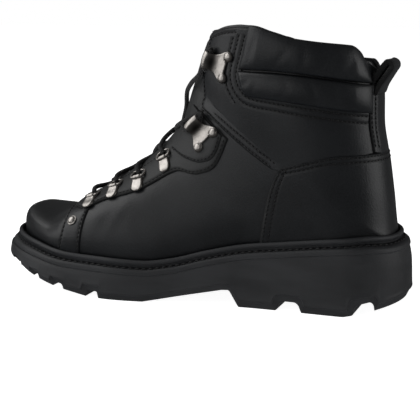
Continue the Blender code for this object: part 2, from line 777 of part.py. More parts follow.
def pillow(columns, rows):
    """Thickness of a pad: thin at its edges and full in the middle."""
    u = np.linspace(0.0, 1.0, columns + 1)[:, None]
    v = np.linspace(0.0, 1.0, rows + 1)[None, :]
    across = np.sqrt(np.clip(4 * v * (1 - v), 0.0, 1.0))
    along = np.sqrt(np.clip(np.minimum(u, 1 - u) * PAD_ENDS, 0.0, 1.0))
    return PAD_RIM + PUFF * across * along


def build_counter():
    """Heel counter round the back, between the welt and the back stay."""
    columns, rows = 13, 4
    t = np.linspace(0.0, 1.0, rows + 1)[None, :]
    share = np.sin(np.linspace(0.0, 1.0, columns + 1) * np.pi / 2)[:, None]
    front = column(COUNTER_FRONT, "share", "x", t)
    top = column(COUNTER_TOP, "share", "z", share)
    foot_x = COUNTER_FRONT[0].x + (HEEL_END - COUNTER_FRONT[0].x) * share
    z = (feather_z(foot_x) + ABOVE_WELT) * (1 - t) + top * t
    x = front + (back_x(z) - front) * share
    spine, around = place(x, z)
    around[-1] = -1.0
    sheets = []
    for height in (COUNTER_UNDER, UNDER_SKIN + COUNTER_SKIN):
        halves = [lifted(spine, around, side, np.full(spine.shape, height)) for side, _ in SIDES]
        middle = halves[0][-1:] * np.array([1.0, 0.0, 1.0])
        sheet = np.concatenate([halves[0][:-1], middle, halves[1][-2::-1]])
        sheets.append(sheet + np.array([0.0, 0.0, GAP]))
    slab("heel_counter", "leather", sheets[0], sheets[1])


def build_back_stay():
    """Strip up the back seam, and the folded loop at its top."""
    z = np.linspace(STAY_LOW, STAY_HIGH, 7)
    spine = to_spine(back_x(z), z)[0]
    _, _, _, half, _, _, girth = section(spine)
    limit = np.arccos((STAY_HALF / half) ** (girth.base_power / 2)) * 2 / np.pi
    share = np.linspace(0.0, 1.0, 4)[None, :]
    around = -(limit[:, None] + (1 - limit[:, None]) * share)
    length = np.broadcast_to(spine[:, None], around.shape)
    sheets = []
    for height in (UNDER_SKIN, UNDER_SKIN + SKIN):
        halves = [lifted(length, around, side, np.full(around.shape, height)) for side, _ in SIDES]
        middle = halves[0][:, -1:] * np.array([1.0, 0.0, 1.0])
        sheets.append(np.concatenate([halves[0][:, :-1], middle, halves[1][:, -2::-1]], 1))
    slab("back_stay", "leather", sheets[0], sheets[1])
    path = np.array([[r.x, r.z] for r in LOOP_PATH])
    run = np.concatenate([[0.0], np.cumsum(np.linalg.norm(np.diff(path, axis=0), axis=1))])
    at = np.linspace(0.0, run[-1], 15)
    line = np.stack([through(run, path[:, 0], at), through(run, path[:, 1], at)], -1)
    ahead = unit(np.gradient(line, axis=0))
    out = np.stack([ahead[:, 1], -ahead[:, 0]], -1)
    grids = []
    for offset in (0.0, LOOP_SKIN):
        edge = line + out * offset
        ends = [np.stack([edge[:, 0], np.full(len(at), y), edge[:, 1]], -1) for y in (-LOOP_HALF, LOOP_HALF)]
        grids.append(np.stack(ends, 1))
    slab("pull_loop", "leather", grids[0], grids[1])


def strap_field():
    """Spine and around over the toe strap, between its front and back edges and from the welt up."""
    share = np.linspace(0.0, 1.0, STRAP_ROWS + 1)
    edges = []
    for edge in (STRAP_FRONT, STRAP_BACK):
        low = float(feather_z(edge[0].x)) + ABOVE_WELT
        z = low + (edge[-1].z - low) * share
        edges.append(np.stack([column(edge, "z", "x", z), z], -1))
    field = np.stack([edges[0], (edges[0] + edges[1]) / 2, edges[1]])
    return place(field[..., 0], field[..., 1])


def build_overlays():
    """Straps, eyestays, hook panels, shaft panels and collar pads on both sides."""
    for side, name in SIDES:
        spine, around = strap_field()
        skin(f"toe_strap_{name}", "leather", spine, around, side, SKIN)
        spine, around = between(EYESTAY_LOW, EYESTAY_HIGH, 16, 3)
        skin(f"eyestay_{name}", "facing", spine, around, side, SKIN)
        spine, around = between(HOOK_PANEL_LOW, HOOK_PANEL_HIGH, 7, 3)
        skin(f"hook_panel_{name}", "facing", spine, around, side, SKIN, 2 * UNDER_SKIN + SKIN)
        spine, around = patch(SHAFT, 2 * len(SHAFT) - 2, 3)
        skin(f"shaft_panel_{name}", "leather", spine, around, side, SKIN)
        for level, table in (("upper", PAD_UPPER), ("lower", PAD_LOWER)):
            spine, around = patch(table, PAD_COLUMNS, PAD_ROWS)
            if level == "upper":
                spine = spine - inner_dip(around[:, -1:], side) * np.linspace(0.0, 1.0, PAD_ROWS + 1) ** 2
            skin(f"collar_pad_{level}_{name}", "leather", spine, around, side, pillow(PAD_COLUMNS, PAD_ROWS))


def dome(bm, origin, axes, radius, rise, sides, base):
    """Round head: rings from its foot to its crown over a flat base."""
    along, toward, out = axes
    angle = np.linspace(0.0, 2 * np.pi, sides, endpoint=False)
    around = along[None, :] * np.cos(angle)[:, None] + toward[None, :] * np.sin(angle)[:, None]
    profile = ((1.0, 0.0), (1.0, base), (0.72, base + rise * 0.7))
    rings = [origin + around * radius * share + out * height for share, height in profile]
    rows = add_grid(bm, np.array(rings), False, True)
    bm.faces.new(rows[0])
    crown = bm.verts.new((origin + out * (base + rise)) * MM)
    for i in range(sides):
        bm.faces.new((rows[-1][i], rows[-1][(i + 1) % sides], crown))


def build_rivets():
    for side, name in SIDES:
        spine, around = place(STRAP_RIVET.x, STRAP_RIVET.z)
        origin, along, toward, out = frame_at(spine, around, side, RIVET_LIFT)
        bm = bmesh.new()
        dome(bm, origin, (along, toward, out), RIVET_RADIUS, RIVET_RISE, RIVET_SIDES, RIVET_BASE)
        make(f"strap_rivet_{name}", "nickel", bm)


def build_rings():
    """Eight lace rings, each standing from a folded clip on the eyestay."""
    for number, row in enumerate(RINGS, 1):
        for side, name in SIDES:
            origin, along, toward, out = frame_at(row.spine, row.around, side, row.lift + GAP)
            t = np.linspace(-CLIP_LENGTH / 2, CLIP_LENGTH / 2, 5)
            half = CLIP_HALF * np.sqrt(np.clip(1 - (np.abs(t) / (CLIP_LENGTH / 2 + 0.5)) ** 3, 0, 1))
            across = np.array([-1.0, -0.4, 0.4, 1.0])
            flat = origin + toward * t[:, None, None] + along * (half[:, None] * across)[..., None]
            rise = CLIP_SKIN * (0.6 + 0.4 * (1 - across ** 2))[None, :, None] * np.ones((5, 1, 1))
            slab(f"ring_clip_{number}_{name}", "nickel", flat, flat + out * rise)
            bar = origin + toward * (CLIP_LENGTH / 2 + RING_WIRE + GAP) + out * (RING_WIRE + 0.2)
            tip = unit(lifted(np.float64(row.spine), np.float64(RING_AROUND), side, RING_LIFT) - bar)
            angle = np.linspace(0.0, np.pi, 7)
            bow_a = RING_HALF * np.cos(angle)
            bow_t = (RING_REACH - 2.0) * np.sin(angle) + 2.0
            a = np.concatenate([[RING_HALF * 0.9], bow_a, [-RING_HALF * 0.9]])
            b = np.concatenate([[0.0], bow_t, [0.0]])
            path = bar + along * a[:, None] + tip * b[:, None]
            bm = bmesh.new()
            tube(bm, path, RING_WIRE, 4, np.cross(along, tip), True)
            make(f"lace_ring_{number}_{name}", "nickel", bm)


def build_hooks():
    """Four lace hooks: a riveted plate, a neck and a lifted lip, one solid each."""
    t, half, rise = np.array(HOOK_SHAPE).T
    a = half[:, None] * np.array(HOOK_ACROSS)
    hump = np.clip(1 - ((np.abs(a) - RIVET_AT) ** 2 + t[:, None] ** 2) / RIVET_RADIUS ** 2, 0, 1) ** 0.5
    for number, row in enumerate(HOOKS, 1):
        for side, name in SIDES:
            origin, along, ahead, out = frame_at(row.spine, row.around, side, row.lift)
            flat = origin + ahead * t[:, None, None] + along * a[..., None] + out * rise[:, None, None]
            top = flat + out * (HOOK_SKIN + RIVET_RISE * hump)[..., None]
            slab(f"lace_hook_{number}_{name}", "nickel", flat, top)


def lace_point(spine, around, side, height):
    return lifted(np.float64(spine), np.float64(around), side, height)


def crest_point(spine, height):
    """Point over the middle of the tongue."""
    both = [lace_point(spine, CREST_AROUND, side, height) for side, _ in SIDES]
    return (both[0] + both[1]) / 2


def cord_path(first, over):
    """One cord from the middle of the lowest bar to a top hook, changing side at each crossing."""
    knots = [crest_point(LACES[0].spine - LACE_BAR_AHEAD, LACE_BAR_LIFT)]
    side = first
    for row, ahead in zip(LACES, LACES[1:] + (None,)):
        knots.append(lace_point(row.spine - LACE_TURN, row.around, side, row.low))
        if ahead is None:
            break
        knots.append(lace_point(row.spine + LACE_TURN, row.around, side, row.high))
        knots.append(crest_point((row.spine + ahead.spine) / 2, over))
        side = -side
    knots = np.array(knots)
    run = np.concatenate([[0.0], np.cumsum(np.linalg.norm(np.diff(knots, axis=0), axis=1))])
    at = np.sort(np.concatenate([run, (run[:-1] + run[1:]) / 2]))
    return np.stack([through(run, knots[:, k], at) for k in range(3)], -1)


def build_laces():
    """Two cords that cross up the throat to the top hooks, joined in one solid clear of rings and hooks."""
    cords = []
    for name, side, over in (("laces", LATERAL, LACE_UNDER), ("lace_joiner", MEDIAL, LACE_OVER)):
        bm = bmesh.new()
        tube(bm, cord_path(side, over), LACE_RADIUS, LACE_SIDES, INSTEP_WAY)
        cords.append(make(name, "lace_cord" if side == LATERAL else None, bm))
    combine(cords[0], cords[1], "UNION")


def main():
    for obj in list(bpy.data.objects):
        bpy.data.objects.remove(obj, do_unlink=True)
    build_outsole()
    build_welt()
    build_insole()
    build_upper()
    build_tongue()
    build_counter()
    build_back_stay()
    build_overlays()
    build_rivets()
    build_rings()
    build_hooks()
    build_laces()


main()
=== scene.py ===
"""Looks of an ankle-high lace-up work boot, worked out on the same last as its solids.

The toe points to -X, the outer side to -Y and +Z is up. Shape functions work in millimetres on the last: a
point has a length along the spine and a turn around the section there. MM and SHIFT bring it to the frame.
"""
from collections import namedtuple

import bmesh
import bpy
import numpy as np
from bpy.props import FloatProperty, FloatVectorProperty, PointerProperty
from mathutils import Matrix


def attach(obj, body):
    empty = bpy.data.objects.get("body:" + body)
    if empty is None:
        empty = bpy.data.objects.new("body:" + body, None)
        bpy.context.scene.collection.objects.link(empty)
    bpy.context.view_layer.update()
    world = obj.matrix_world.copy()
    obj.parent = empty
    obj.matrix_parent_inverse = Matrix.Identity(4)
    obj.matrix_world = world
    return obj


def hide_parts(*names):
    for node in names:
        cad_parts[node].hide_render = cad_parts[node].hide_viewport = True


bl_info = {
    "name": "Work Boot Looks",
    "version": (1, 0, 0),
    "blender": (4, 5, 0),
    "location": "View3D > Sidebar > Work Boot",
    "description": "Dresses the boot's solids with leather, rubber, metal, cord and stitching",
    "category": "Object",
}

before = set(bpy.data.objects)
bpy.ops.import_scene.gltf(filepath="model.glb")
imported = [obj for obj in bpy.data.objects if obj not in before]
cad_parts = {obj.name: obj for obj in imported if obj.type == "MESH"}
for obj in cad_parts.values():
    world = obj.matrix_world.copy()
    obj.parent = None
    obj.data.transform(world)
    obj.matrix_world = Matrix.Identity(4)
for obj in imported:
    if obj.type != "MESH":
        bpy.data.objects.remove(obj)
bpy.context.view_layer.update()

MM = 0.001
SHIFT = np.array([-3.0, 0.0703, 0.0])
# Driving sizes of the boot
HEEL_END = 140.5
TOE_END = -134.5
TOE_ROUND = 58.0
TOE_POWER = 2.3
HEEL_ROUND = 38.0
HEEL_POWER = 2.1
TOE_FRONT = 36.0
TOE_BROW = 14.0
BROW_POWER = 2.3
WALL = 2.4
GAP = 0.3

# The sections stand upright ahead of the hinge and fan about it behind; spine is the length along them
HINGE_X = -60.0
HINGE_Z = 190.0
FAN_RADIUS = 110.0

# Plan of the feather line, where the upper meets the sole: along is the share of its length from the heel
Plan = namedtuple("Plan", "along half centre")
PLAN = (
    Plan(0.00, 34.0, 0.0),
    Plan(0.15, 34.5, 0.0),
    Plan(0.32, 33.0, -1.5),
    Plan(0.45, 35.5, -3.2),
    Plan(0.58, 42.0, -3.5),
    Plan(0.68, 47.0, -1.0),
    Plan(0.78, 46.8, 1.0),
    Plan(0.90, 42.0, 4.5),
    Plan(1.00, 36.5, 7.0),
)

# Side-view lines: the feather line, the ridge of the closed last and the back of the heel
Line = namedtuple("Line", "x z")
FEATHER = (
    Line(TOE_END, 31.0),
    Line(-108.0, 28.4),
    Line(-76.0, 24.4),
    Line(-46.0, 23.6),
    Line(-20.0, 22.9),
    Line(0.0, 25.6),
    Line(22.0, 31.6),
    Line(47.0, 37.2),
    Line(74.0, 40.8),
    Line(111.0, 45.4),
    Line(130.0, 47.0),
    Line(HEEL_END, 46.2),
)
RIDGE = (
    Line(TOE_END, 54.6),
    Line(-116.0, 51.2),
    Line(-99.0, 49.6),
    Line(-82.0, 59.4),
    Line(-49.0, 78.5),
    Line(-18.0, 103.5),
    Line(-4.0, 124.5),
    Line(1.0, 144.0),
    Line(6.0, 167.0),
    Line(11.5, 184.0),
    Line(14.0, 192.0),
)
BACK = (
    Line(HEEL_END, 46.2),
    Line(139.6, 50.0),
    Line(136.4, 75.0),
    Line(132.5, 101.0),
    Line(129.0, 122.0),
    Line(128.4, 140.0),
    Line(125.0, 158.0),
    Line(121.0, 170.0),
    Line(119.0, 176.0),
)

# Girth of each section: greatest half width, its level from ridge to base, roundness above and below it
Girth = namedtuple("Girth", "spine half level top_power base_power ridge_centre")
GIRTH = (
    Girth(TOE_END, 37.5, 0.62, 2.6, 2.6, 6.0),
    Girth(-108.0, 43.8, 0.62, 2.7, 2.6, 4.5),
    Girth(-84.0, 48.5, 0.68, 2.4, 2.5, 2.5),
    Girth(-60.0, 49.5, 0.74, 2.1, 2.5, 1.5),
    Girth(-31.0, 43.8, 0.78, 1.9, 2.2, 1.0),
    Girth(-2.0, 37.6, 0.72, 1.9, 2.1, 0.5),
    Girth(26.0, 37.0, 0.62, 2.0, 2.2, 0.0),
    Girth(42.0, 37.5, 0.58, 2.0, 2.3, 0.0),
    Girth(65.0, 38.5, 0.54, 2.1, 2.2, 0.0),
    Girth(84.0, 38.0, 0.52, 2.1, 2.2, 0.0),
    Girth(108.0, 38.5, 0.52, 2.1, 2.2, 0.0),
)

# Half of the throat's gap along the spine, and the spine length of the collar's edge around the ankle
Throat = namedtuple("Throat", "spine gap")
THROAT_END = -86.0
THROAT_ROUND = 14.0
THROAT = (
    Throat(THROAT_END, 12.0),
    Throat(-60.0, 14.0),
    Throat(0.0, 15.0),
    Throat(40.0, 18.0),
    Throat(108.0, 22.5),
)
Collar = namedtuple("Collar", "around spine")
COLLAR = (
    Collar(-1.00, 92.2),
    Collar(-0.76, 95.6),
    Collar(-0.62, 99.6),
    Collar(-0.29, 100.0),
    Collar(-0.14, 100.4),
    Collar(0.02, 103.0),
    Collar(0.16, 105.4),
    Collar(0.26, 105.4),
    Collar(0.41, 103.5),
    Collar(0.62, 96.2),
)
# Spine length above which the sections close on the collar
COLLAR_START = 84.0
# How much lower, in spine length, the collar's edge is on the inner side
Dip = namedtuple("Dip", "around depth")
INNER_DIP = (Dip(-1.0, 0.0), Dip(-0.84, 3.2), Dip(-0.6, 6.4), Dip(-0.3, 8.0), Dip(0.0, 9.2), Dip(0.3, 8.6),
             Dip(0.62, 8.5))

# Where the upper's sections are: how many ahead of the throat, then by spine, by x and by z up the back
TOE_STATIONS = 7
THROAT_STATIONS = (-84.0, -80.0, -74.0, -67.0)
FOOT_STATIONS = (-46.0, -30.0, -14.0, 4.0, 22.0, 40.0, 58.0, 76.0, 93.0, 108.0, 120.0, 129.0, 135.0, 138.4)
HEEL_STATIONS = (50.0, 64.0, 78.0, 92.0, 106.0, 120.0, 133.0)
# Line of the tread from the toe to the heel
TREAD = (
    Line(-150.0, 20.5),
    Line(-136.0, 15.6),
    Line(-112.0, 9.6),
    Line(-84.0, 4.2),
    Line(-58.0, 0.0),
    Line(-20.0, 0.0),
    Line(34.0, 11.0),
    Line(38.8, 11.2),
    Line(45.2, 0.0),
    Line(116.0, 0.0),
    Line(152.0, 8.0),
)
# Cuts across the tread between its lugs: from the heel side to the toe side, depth and slope of their walls
Cut = namedtuple("Cut", "rear front depth slope")
LUG_CUTS = (
    Cut(134.5, 121.8, 9.0, 2.6),
    Cut(87.5, 71.5, 6.6, 4.2),
    Cut(-51.5, -61.0, 4.6, 1.0),
    Cut(-79.5, -87.0, 7.4, 1.0),
    Cut(-101.5, -107.0, 10.8, 1.0),
    Cut(-121.5, -127.0, 15.4, 1.0),
)
Channel = namedtuple("Channel", "rear front half depth")
TREAD_CHANNELS = (Channel(112.0, 52.0, 7.0, 4.0), Channel(-22.0, -122.0, 6.0, 4.0))

# Pieces sewn on the upper: their edges as side-view lines from front to back
Front = namedtuple("Front", "share x")
COUNTER_FRONT = (Front(0.0, 57.6), Front(0.38, 61.0), Front(0.72, 65.0), Front(1.0, 71.5))
Top = namedtuple("Top", "share z")
COUNTER_TOP = (Top(0.0, 93.5), Top(0.25, 97.8), Top(0.6, 103.0), Top(1.0, 103.6))
Between = namedtuple("Between", "low_x low_z high_x high_z")
PAD_UPPER = (
    Between(42.8, 155.8, 50.4, 181.8),
    Between(63.0, 155.5, 65.0, 177.8),
    Between(83.0, 154.0, 81.0, 172.8),
    Between(99.0, 151.9, 96.0, 170.6),
    Between(112.0, 149.8, 108.6, 168.8),
    Between(124.6, 147.5, 119.2, 162.6),
)
PAD_LOWER = (
    Between(46.0, 142.4, 42.2, 154.9),
    Between(50.6, 138.8, 47.6, 154.8),
    Between(62.0, 137.6, 63.0, 154.6),
    Between(82.0, 135.2, 83.0, 153.2),
    Between(99.0, 132.8, 99.0, 151.1),
    Between(112.0, 130.7, 112.0, 149.0),
    Between(125.4, 128.7, 124.8, 146.7),
)
# Height of the padding, of its rim, and how short its rounded ends are
PUFF = 4.2
PAD_RIM = 0.9
PAD_ENDS = 8.0
STRAP_FRONT = (Line(-85.6, 31.0), Line(-82.6, 44.3), Line(-82.2, 57.2))
STRAP_BACK = (Line(-67.6, 28.0), Line(-65.8, 45.9), Line(-64.7, 58.6))
STRAP_RIVET = Line(-74.7, 49.6)
# Edges given on the last itself: spine length and the turn around the section, from the sole to the ridge
Trace = namedtuple("Trace", "spine around")
Span = namedtuple("Span", "start end")
EYESTAY_LOW = (Trace(-80.0, 0.602), Trace(-68.8, 0.465), Trace(-56.0, 0.507), Trace(-40.0, 0.487),
               Trace(-18.0, 0.472), Trace(-4.6, 0.434), Trace(8.0, 0.297), Trace(18.5, 0.251),
               Trace(35.8, 0.317))
EYESTAY_HIGH = Span(-79.0, 33.0)
HOOK_PANEL_LOW = (Trace(-3.2, 0.644), Trace(6.0, 0.444), Trace(14.0, 0.332), Trace(21.5, 0.295),
                  Trace(35.0, 0.349))
HOOK_PANEL_HIGH = Span(-2.6, 32.5)
STAY_LOW = 105.4
STAY_HIGH = 154.5
# Pull loop: thickness, bow across, points of its grid and its folded path with half widths
LOOP_SKIN = 3.7
LOOP_BEND = 1.0
LOOP_TIMES = 10
LOOP_COLUMNS = 33
Loop = namedtuple("Loop", "x z half")
LOOP_PATH = (
    Loop(129.6, 140.6, 15.5),
    Loop(131.4, 145.2, 14.5),
    Loop(134.2, 149.8, 13.0),
    Loop(137.0, 154.2, 12.0),
    Loop(139.2, 158.2, 11.5),
    Loop(138.8, 160.6, 11.5),
    Loop(136.8, 162.6, 11.5),
    Loop(134.2, 163.2, 11.5),
    Loop(131.8, 161.0, 11.5),
    Loop(128.4, 156.0, 12.0),
    Loop(125.6, 151.6, 13.0),
    Loop(123.6, 148.2, 14.2),
    Loop(122.8, 146.2, 15.0),
)

# Lacing: rings then hooks, each on the spine and around the section; lift is what lies under the fitting
Fitting = namedtuple("Fitting", "spine around lift")
RINGS = (
    Fitting(-66.4, 0.534, 2.1),
    Fitting(-50.3, 0.557, 2.1),
    Fitting(-32.2, 0.528, 2.5),
    Fitting(-10.8, 0.541, 2.5),
)
HOOKS = (Fitting(25.3, 0.421, 2.9), Fitting(75.2, 0.395, 1.35))
# Rings and clips: wire, half width, reach and lean over the throat, clip's length, half width and skin
RING_WIRE = 0.85
RING_HALF = 5.0
RING_REACH = 9.0
RING_AROUND = 0.86
RING_LIFT = 1.9
CLIP_LENGTH = 8.6
CLIP_HALF = 4.4
CLIP_SKIN = 1.3
CREST_AROUND = 0.985
Tongue = namedtuple("Tongue", "spine half")
TONGUE = (Tongue(-94.0, 18.0), Tongue(-60.0, 24.0), Tongue(0.0, 23.4), Tongue(99.0, 26.2))
TONGUE_SKIN = 3.6
INSOLE_SKIN = 3.5
LATERAL = -1
MEDIAL = 1
SIDES = ((LATERAL, "lateral"), (MEDIAL, "medial"))
SAMPLES = 1500
# Steps of the slopes along the spine and around the section, and the turn past which the slope is held
SPINE_STEP = 0.02
TURN_STEP = 0.0025
TURN_LIMIT = 0.995

# Finer forms that only the looks have. Sole wall: stand-out, height, and how far it draws back from a notch
Wall = namedtuple("Wall", "side heel toe share drop grow")
SOLE_WALL = (
    Wall(6.2, 8.4, 7.0, 0.0, 0.0, 0.0),
    Wall(7.5, 10.7, 10.2, 0.0, 4.3, 2.4),
    Wall(8.3, 11.6, 11.5, 0.0, 5.0, 2.8),
    Wall(8.2, 11.4, 11.4, 0.0, 6.6, 3.6),
    Wall(7.6, 10.6, 10.4, 0.62, 0.0, 3.6),
    Wall(6.8, 8.8, 8.0, 1.0, -5.3, 3.6),
    Wall(7.5, 9.4, 8.6, 1.0, -4.5, 3.6),
    Wall(7.4, 8.9, 8.2, 1.0, -2.5, 3.6),
    Wall(6.6, 7.6, 7.0, 1.0, -1.2, 3.6),
    Wall(5.0, 5.4, 5.4, 1.0, -0.5, 3.6),
)
WALL_TIMES = 5
SOLE_STATIONS = 420
TREAD_COLUMNS = 29
NOTCH_EASE = 0.6
CUT_SHARE = 0.5
EASE_HEIGHT = 26.0
CHANNEL_EASE = 1.5
# Profile of the welt's bead, out from the feather line and up from it
Bead = namedtuple("Bead", "out up")
WELT_FORM = (Bead(2.2, 0.0), Bead(2.1, 3.6), Bead(2.7, 4.9), Bead(3.6, 5.0), Bead(4.5, 4.3), Bead(4.8, 3.2),
             Bead(4.5, 2.1), Bead(3.9, 1.3), Bead(3.7, 0.0))
WELT_TIMES = 4
WELT_STATIONS = 260
WELT_ROW_OUT = 5.6
WELT_ROW_UP = -0.55
WELT_STITCH = 0.72
WELT_THREAD = 1.15

# Sewing: roundness of a cut edge, and width and depth of the trough that a row of stitches pulls
EDGE_ROUND = 0.9
ROW_WIDTH = 0.85
ROW_DEPTH = 0.38
EDGE_FOOT = 0.3
# Painted shade: how far it reaches from a cut edge, and its strength in a stitch trough
EDGE_SHADE = 0.7
ROW_SHADE = 0.8
STITCH_SHARES = np.array([-1.0, -0.82, -0.35, 0.35, 0.82, 1.0])
STITCH_SIDES = 6
STITCH_RISE = 0.34
STITCH_DIP = 0.5
STITCH_STEP = 0.8
# Stitch rows of each panel: its edge, the inset from it and what is skipped at the row's two ends
Row = namedtuple("Row", "edge inset skip")
STRAP_ROWS = (Row("front", 1.9, (0, 0)), Row("back", 1.9, (0, 0)), Row("high", 2.2, (2, 2)))
STRIP_ROWS = (Row("low", 1.9, (3, 2)), Row("high", 2.0, (2, 2)))
FACING_ROWS = (Row("low", 1.8, (2, 2)),)
SHAFT_ROWS = (Row("low", 1.9, (3, 68)), Row("low", 7.0, (58, 68)), Row("high", 3.6, (4, 0)),
              Row("high", 8.0, (4, 0)), Row("high", 12.0, (6, 92)), Row("front", 3.0, (3, 10)))
COUNTER_ROWS = (Row("front", 2.0, (0, 2)), Row("front", 6.0, (0, 3)), Row("back", 2.0, (0, 2)),
                Row("back", 6.0, (0, 3)), Row("high", 2.0, (2, 2)), Row("high", 5.0, (3, 3)))
STAY_ROWS = (Row("low", 1.9, (4, 0)), Row("low", 5.6, (4, 0)), Row("high", 1.9, (4, 0)),
             Row("high", 5.6, (4, 0)))
LOOP_ROWS = (Row("low", 1.8, (1, 1)), Row("high", 1.8, (1, 1)))
TONGUE_ROWS = (Row("back", 2.2, (2, 2)), Row("low", 2.2, (0, 2)), Row("high", 2.2, (0, 2)))
# Points of each panel's grid along and across
STRAP_GRID = (22, 44)
STRIP_GRID = (150, 34)
FACING_GRID = (80, 34)
SHAFT_ACROSS = 46
COUNTER_GRID = (90, 60)
STAY_GRID = (70, 24)
PAD_GRID = (110, 40)
TONGUE_GRID = (120, 30)
# Upper: its skin and lining, rows of its grid below and above the widest line, and rows up to the collar
SKIN_WALL = 1.2
LINING_DEPTH = 1.3
LOW_TURNS = 36
HIGH_TURNS = 60
RIM_SPINE = 97.0
UPPER_TIMES = 6
COLLAR_ROWS = 14
# Footbed: stations, columns across, bevel of its edge and depth of its dish
BED_STATIONS = 120
BED_COLUMNS = 21
BED_BEVEL = 0.8
BED_DISH = 1.2
BED_ENDS = 12
# Panels: their stand over the upper, their thickness, and how far they keep from the throat and collar
PANEL_FOOT = 0.03
STRAP_FOOT = 2.6
PANEL = 1.25
COUNTER_PANEL = 1.9
THROAT_SHY = 0.004
SHAFT_SHY = 0.008
COLLAR_SHY = 0.8
# Shaft panel, from the collar down the throat, along the slanted seam and back, pair by pair: its outer edge
# on the sole side and its inner edge round the pads; the first outer points lie on the throat
Pair = namedtuple("Pair", "x z inner_x inner_z")
SHAFT_THROAT = (90.0, 76.0, 62.0)
SHAFT_INNER = (Line(49.4, 172.0), Line(45.8, 160.0), Line(44.4, 151.0))
SHAFT_PAIRS = (
    Pair(12.0, 129.0, 46.4, 145.6),
    Pair(26.0, 119.5, 50.6, 141.4),
    Pair(41.4, 108.7, 56.6, 140.0),
    Pair(55.0, 99.4, 63.0, 139.2),
    Pair(66.4, 92.6, 70.0, 138.2),
    Pair(72.0, 92.0, 76.0, 137.5),
    Pair(84.0, 95.4, 86.0, 136.1),
    Pair(98.0, 99.6, 98.0, 134.5),
    Pair(112.0, 101.8, 112.0, 132.3),
    Pair(125.0, 102.6, 123.6, 130.5),
)
SHAFT_TOP = (0.612, 0.165)
SHAFT_TIMES = 10
SHAFT_EASE = 2.5
SHAFT_TUCK = 4.0
# Creases of the upper: place in side view, lean in degrees, half length, half width and rise
Crease = namedtuple("Crease", "x z lean length width rise")
CREASES = (
    Crease(-50.0, 48.0, 66.0, 14.0, 5.0, -0.35),
    Crease(-38.0, 52.0, 58.0, 13.0, 4.5, -0.3),
    Crease(-44.0, 49.0, 62.0, 14.0, 4.0, 0.25),
    Crease(24.0, 88.0, -38.0, 18.0, 6.0, -0.45),
    Crease(34.0, 74.0, -30.0, 16.0, 6.0, -0.35),
    Crease(28.0, 82.0, -34.0, 18.0, 5.0, 0.3),
)
# Wrinkles of the rolls: place along and across a roll, then as the creases
Wrinkle = namedtuple("Wrinkle", "along across lean length width rise")
WRINKLES_UPPER = (
    Wrinkle(7.0, 13.0, 88.0, 9.0, 2.4, -0.4),
    Wrinkle(27.0, 9.0, 68.0, 8.0, 2.8, -0.3),
    Wrinkle(41.0, 10.0, 104.0, 8.0, 2.8, -0.35),
    Wrinkle(53.0, 9.0, 76.0, 8.0, 2.6, -0.4),
    Wrinkle(60.0, 8.0, 94.0, 7.0, 2.4, -0.3),
    Wrinkle(69.0, 9.0, 82.0, 7.0, 2.8, -0.35),
)
WRINKLES_LOWER = (
    Wrinkle(6.0, 9.0, 40.0, 7.0, 2.2, -0.45),
    Wrinkle(12.0, 7.0, 62.0, 7.0, 2.2, -0.3),
    Wrinkle(33.0, 8.0, 84.0, 7.0, 2.8, -0.25),
    Wrinkle(50.0, 8.0, 100.0, 7.0, 2.8, -0.3),
    Wrinkle(66.0, 8.0, 86.0, 7.0, 2.8, -0.3),
)
# Rolls: rise past the collar, stand over the upper, fullness across and along, and the fill under which
# painted shade darkens the rim
ROLL_TOP = -1.5
PAD_FOOT = 0.4
PAD_ACROSS = 0.85
PAD_ALONG = 0.8
PAD_SHADE = 0.25
# Tongue: its rise over the last, how far it passes the solid, its sewn edge and the trough by the padding
Rise = namedtuple("Rise", "spine rise")
TONGUE_RISE = (Rise(-94.0, -3.6), Rise(-84.0, -0.6), Rise(-72.0, 1.3), Rise(-20.0, 1.7), Rise(4.0, 2.0),
               Rise(24.0, 1.8), Rise(45.0, 0.8), Rise(70.0, -1.4), Rise(101.0, -3.0))
TONGUE_PAST = 1.5
TONGUE_EDGE = 1.2
TONGUE_PAD = 9.0
TONGUE_TROUGH = 8.0
TROUGH_DEPTH = 0.5
TROUGH_WIDTH = 1.2
# Binding of the collar and piping of the throat: radius, depth under the skin, points along and sides
Cord = namedtuple("Cord", "radius depth points sides")
BINDING = Cord(1.35, 1.2, 300, 14)
PIPING = Cord(1.1, 0.5, 220, 10)
# Lacing strip's stand over the upper, and the back stay's thickness and half width
STRIP_FOOT = 0.35
STAY_PANEL = 1.5
Stay = namedtuple("Stay", "z half")
STAY = (Stay(100.0, 17.2), Stay(142.0, 17.2), Stay(148.0, 14.0), Stay(155.0, 10.0))
# Lace hook, from its foot to its lip: half width and rise, then its lobes, rivet heads, the band of painted
# dark reflection on its neck, and tunnel
Hook = namedtuple("Hook", "toward half rise")
HOOK_FORM = (
    Hook(-5.8, 10.6, 0.0),
    Hook(-1.0, 10.6, 0.0),
    Hook(1.4, 9.6, 0.0),
    Hook(3.6, 8.0, 0.1),
    Hook(5.4, 6.7, 0.4),
    Hook(7.2, 5.8, 1.3),
    Hook(9.0, 5.4, 3.0),
    Hook(10.4, 5.4, 4.7),
    Hook(11.8, 5.7, 5.6),
    Hook(13.8, 5.9, 5.4),
    Hook(15.6, 5.5, 4.2),
)
HOOK_FOOT = 10.6
LOBE_AT = 7.3
LOBE_LOW = -1.9
LOBE_RADIUS = 3.3
LOBE_REACH = 1.0
DOME_RADIUS = 3.0
HOOK_SKIN = 1.1
NECK_AT = 8.4
NECK_WIDTH = 2.6
HOOK_TUNNEL = 10.2
HOOK_CLEAR = 1.7
HOOK_GRID = (70, 45)
HOOK_EDGE = 0.9
HOOK_RIM = 0.3
HEAD_RISE = 1.5
LIP_FROM = 6.0
LIP_BOW = 0.03
NECK_SHADE = 0.35
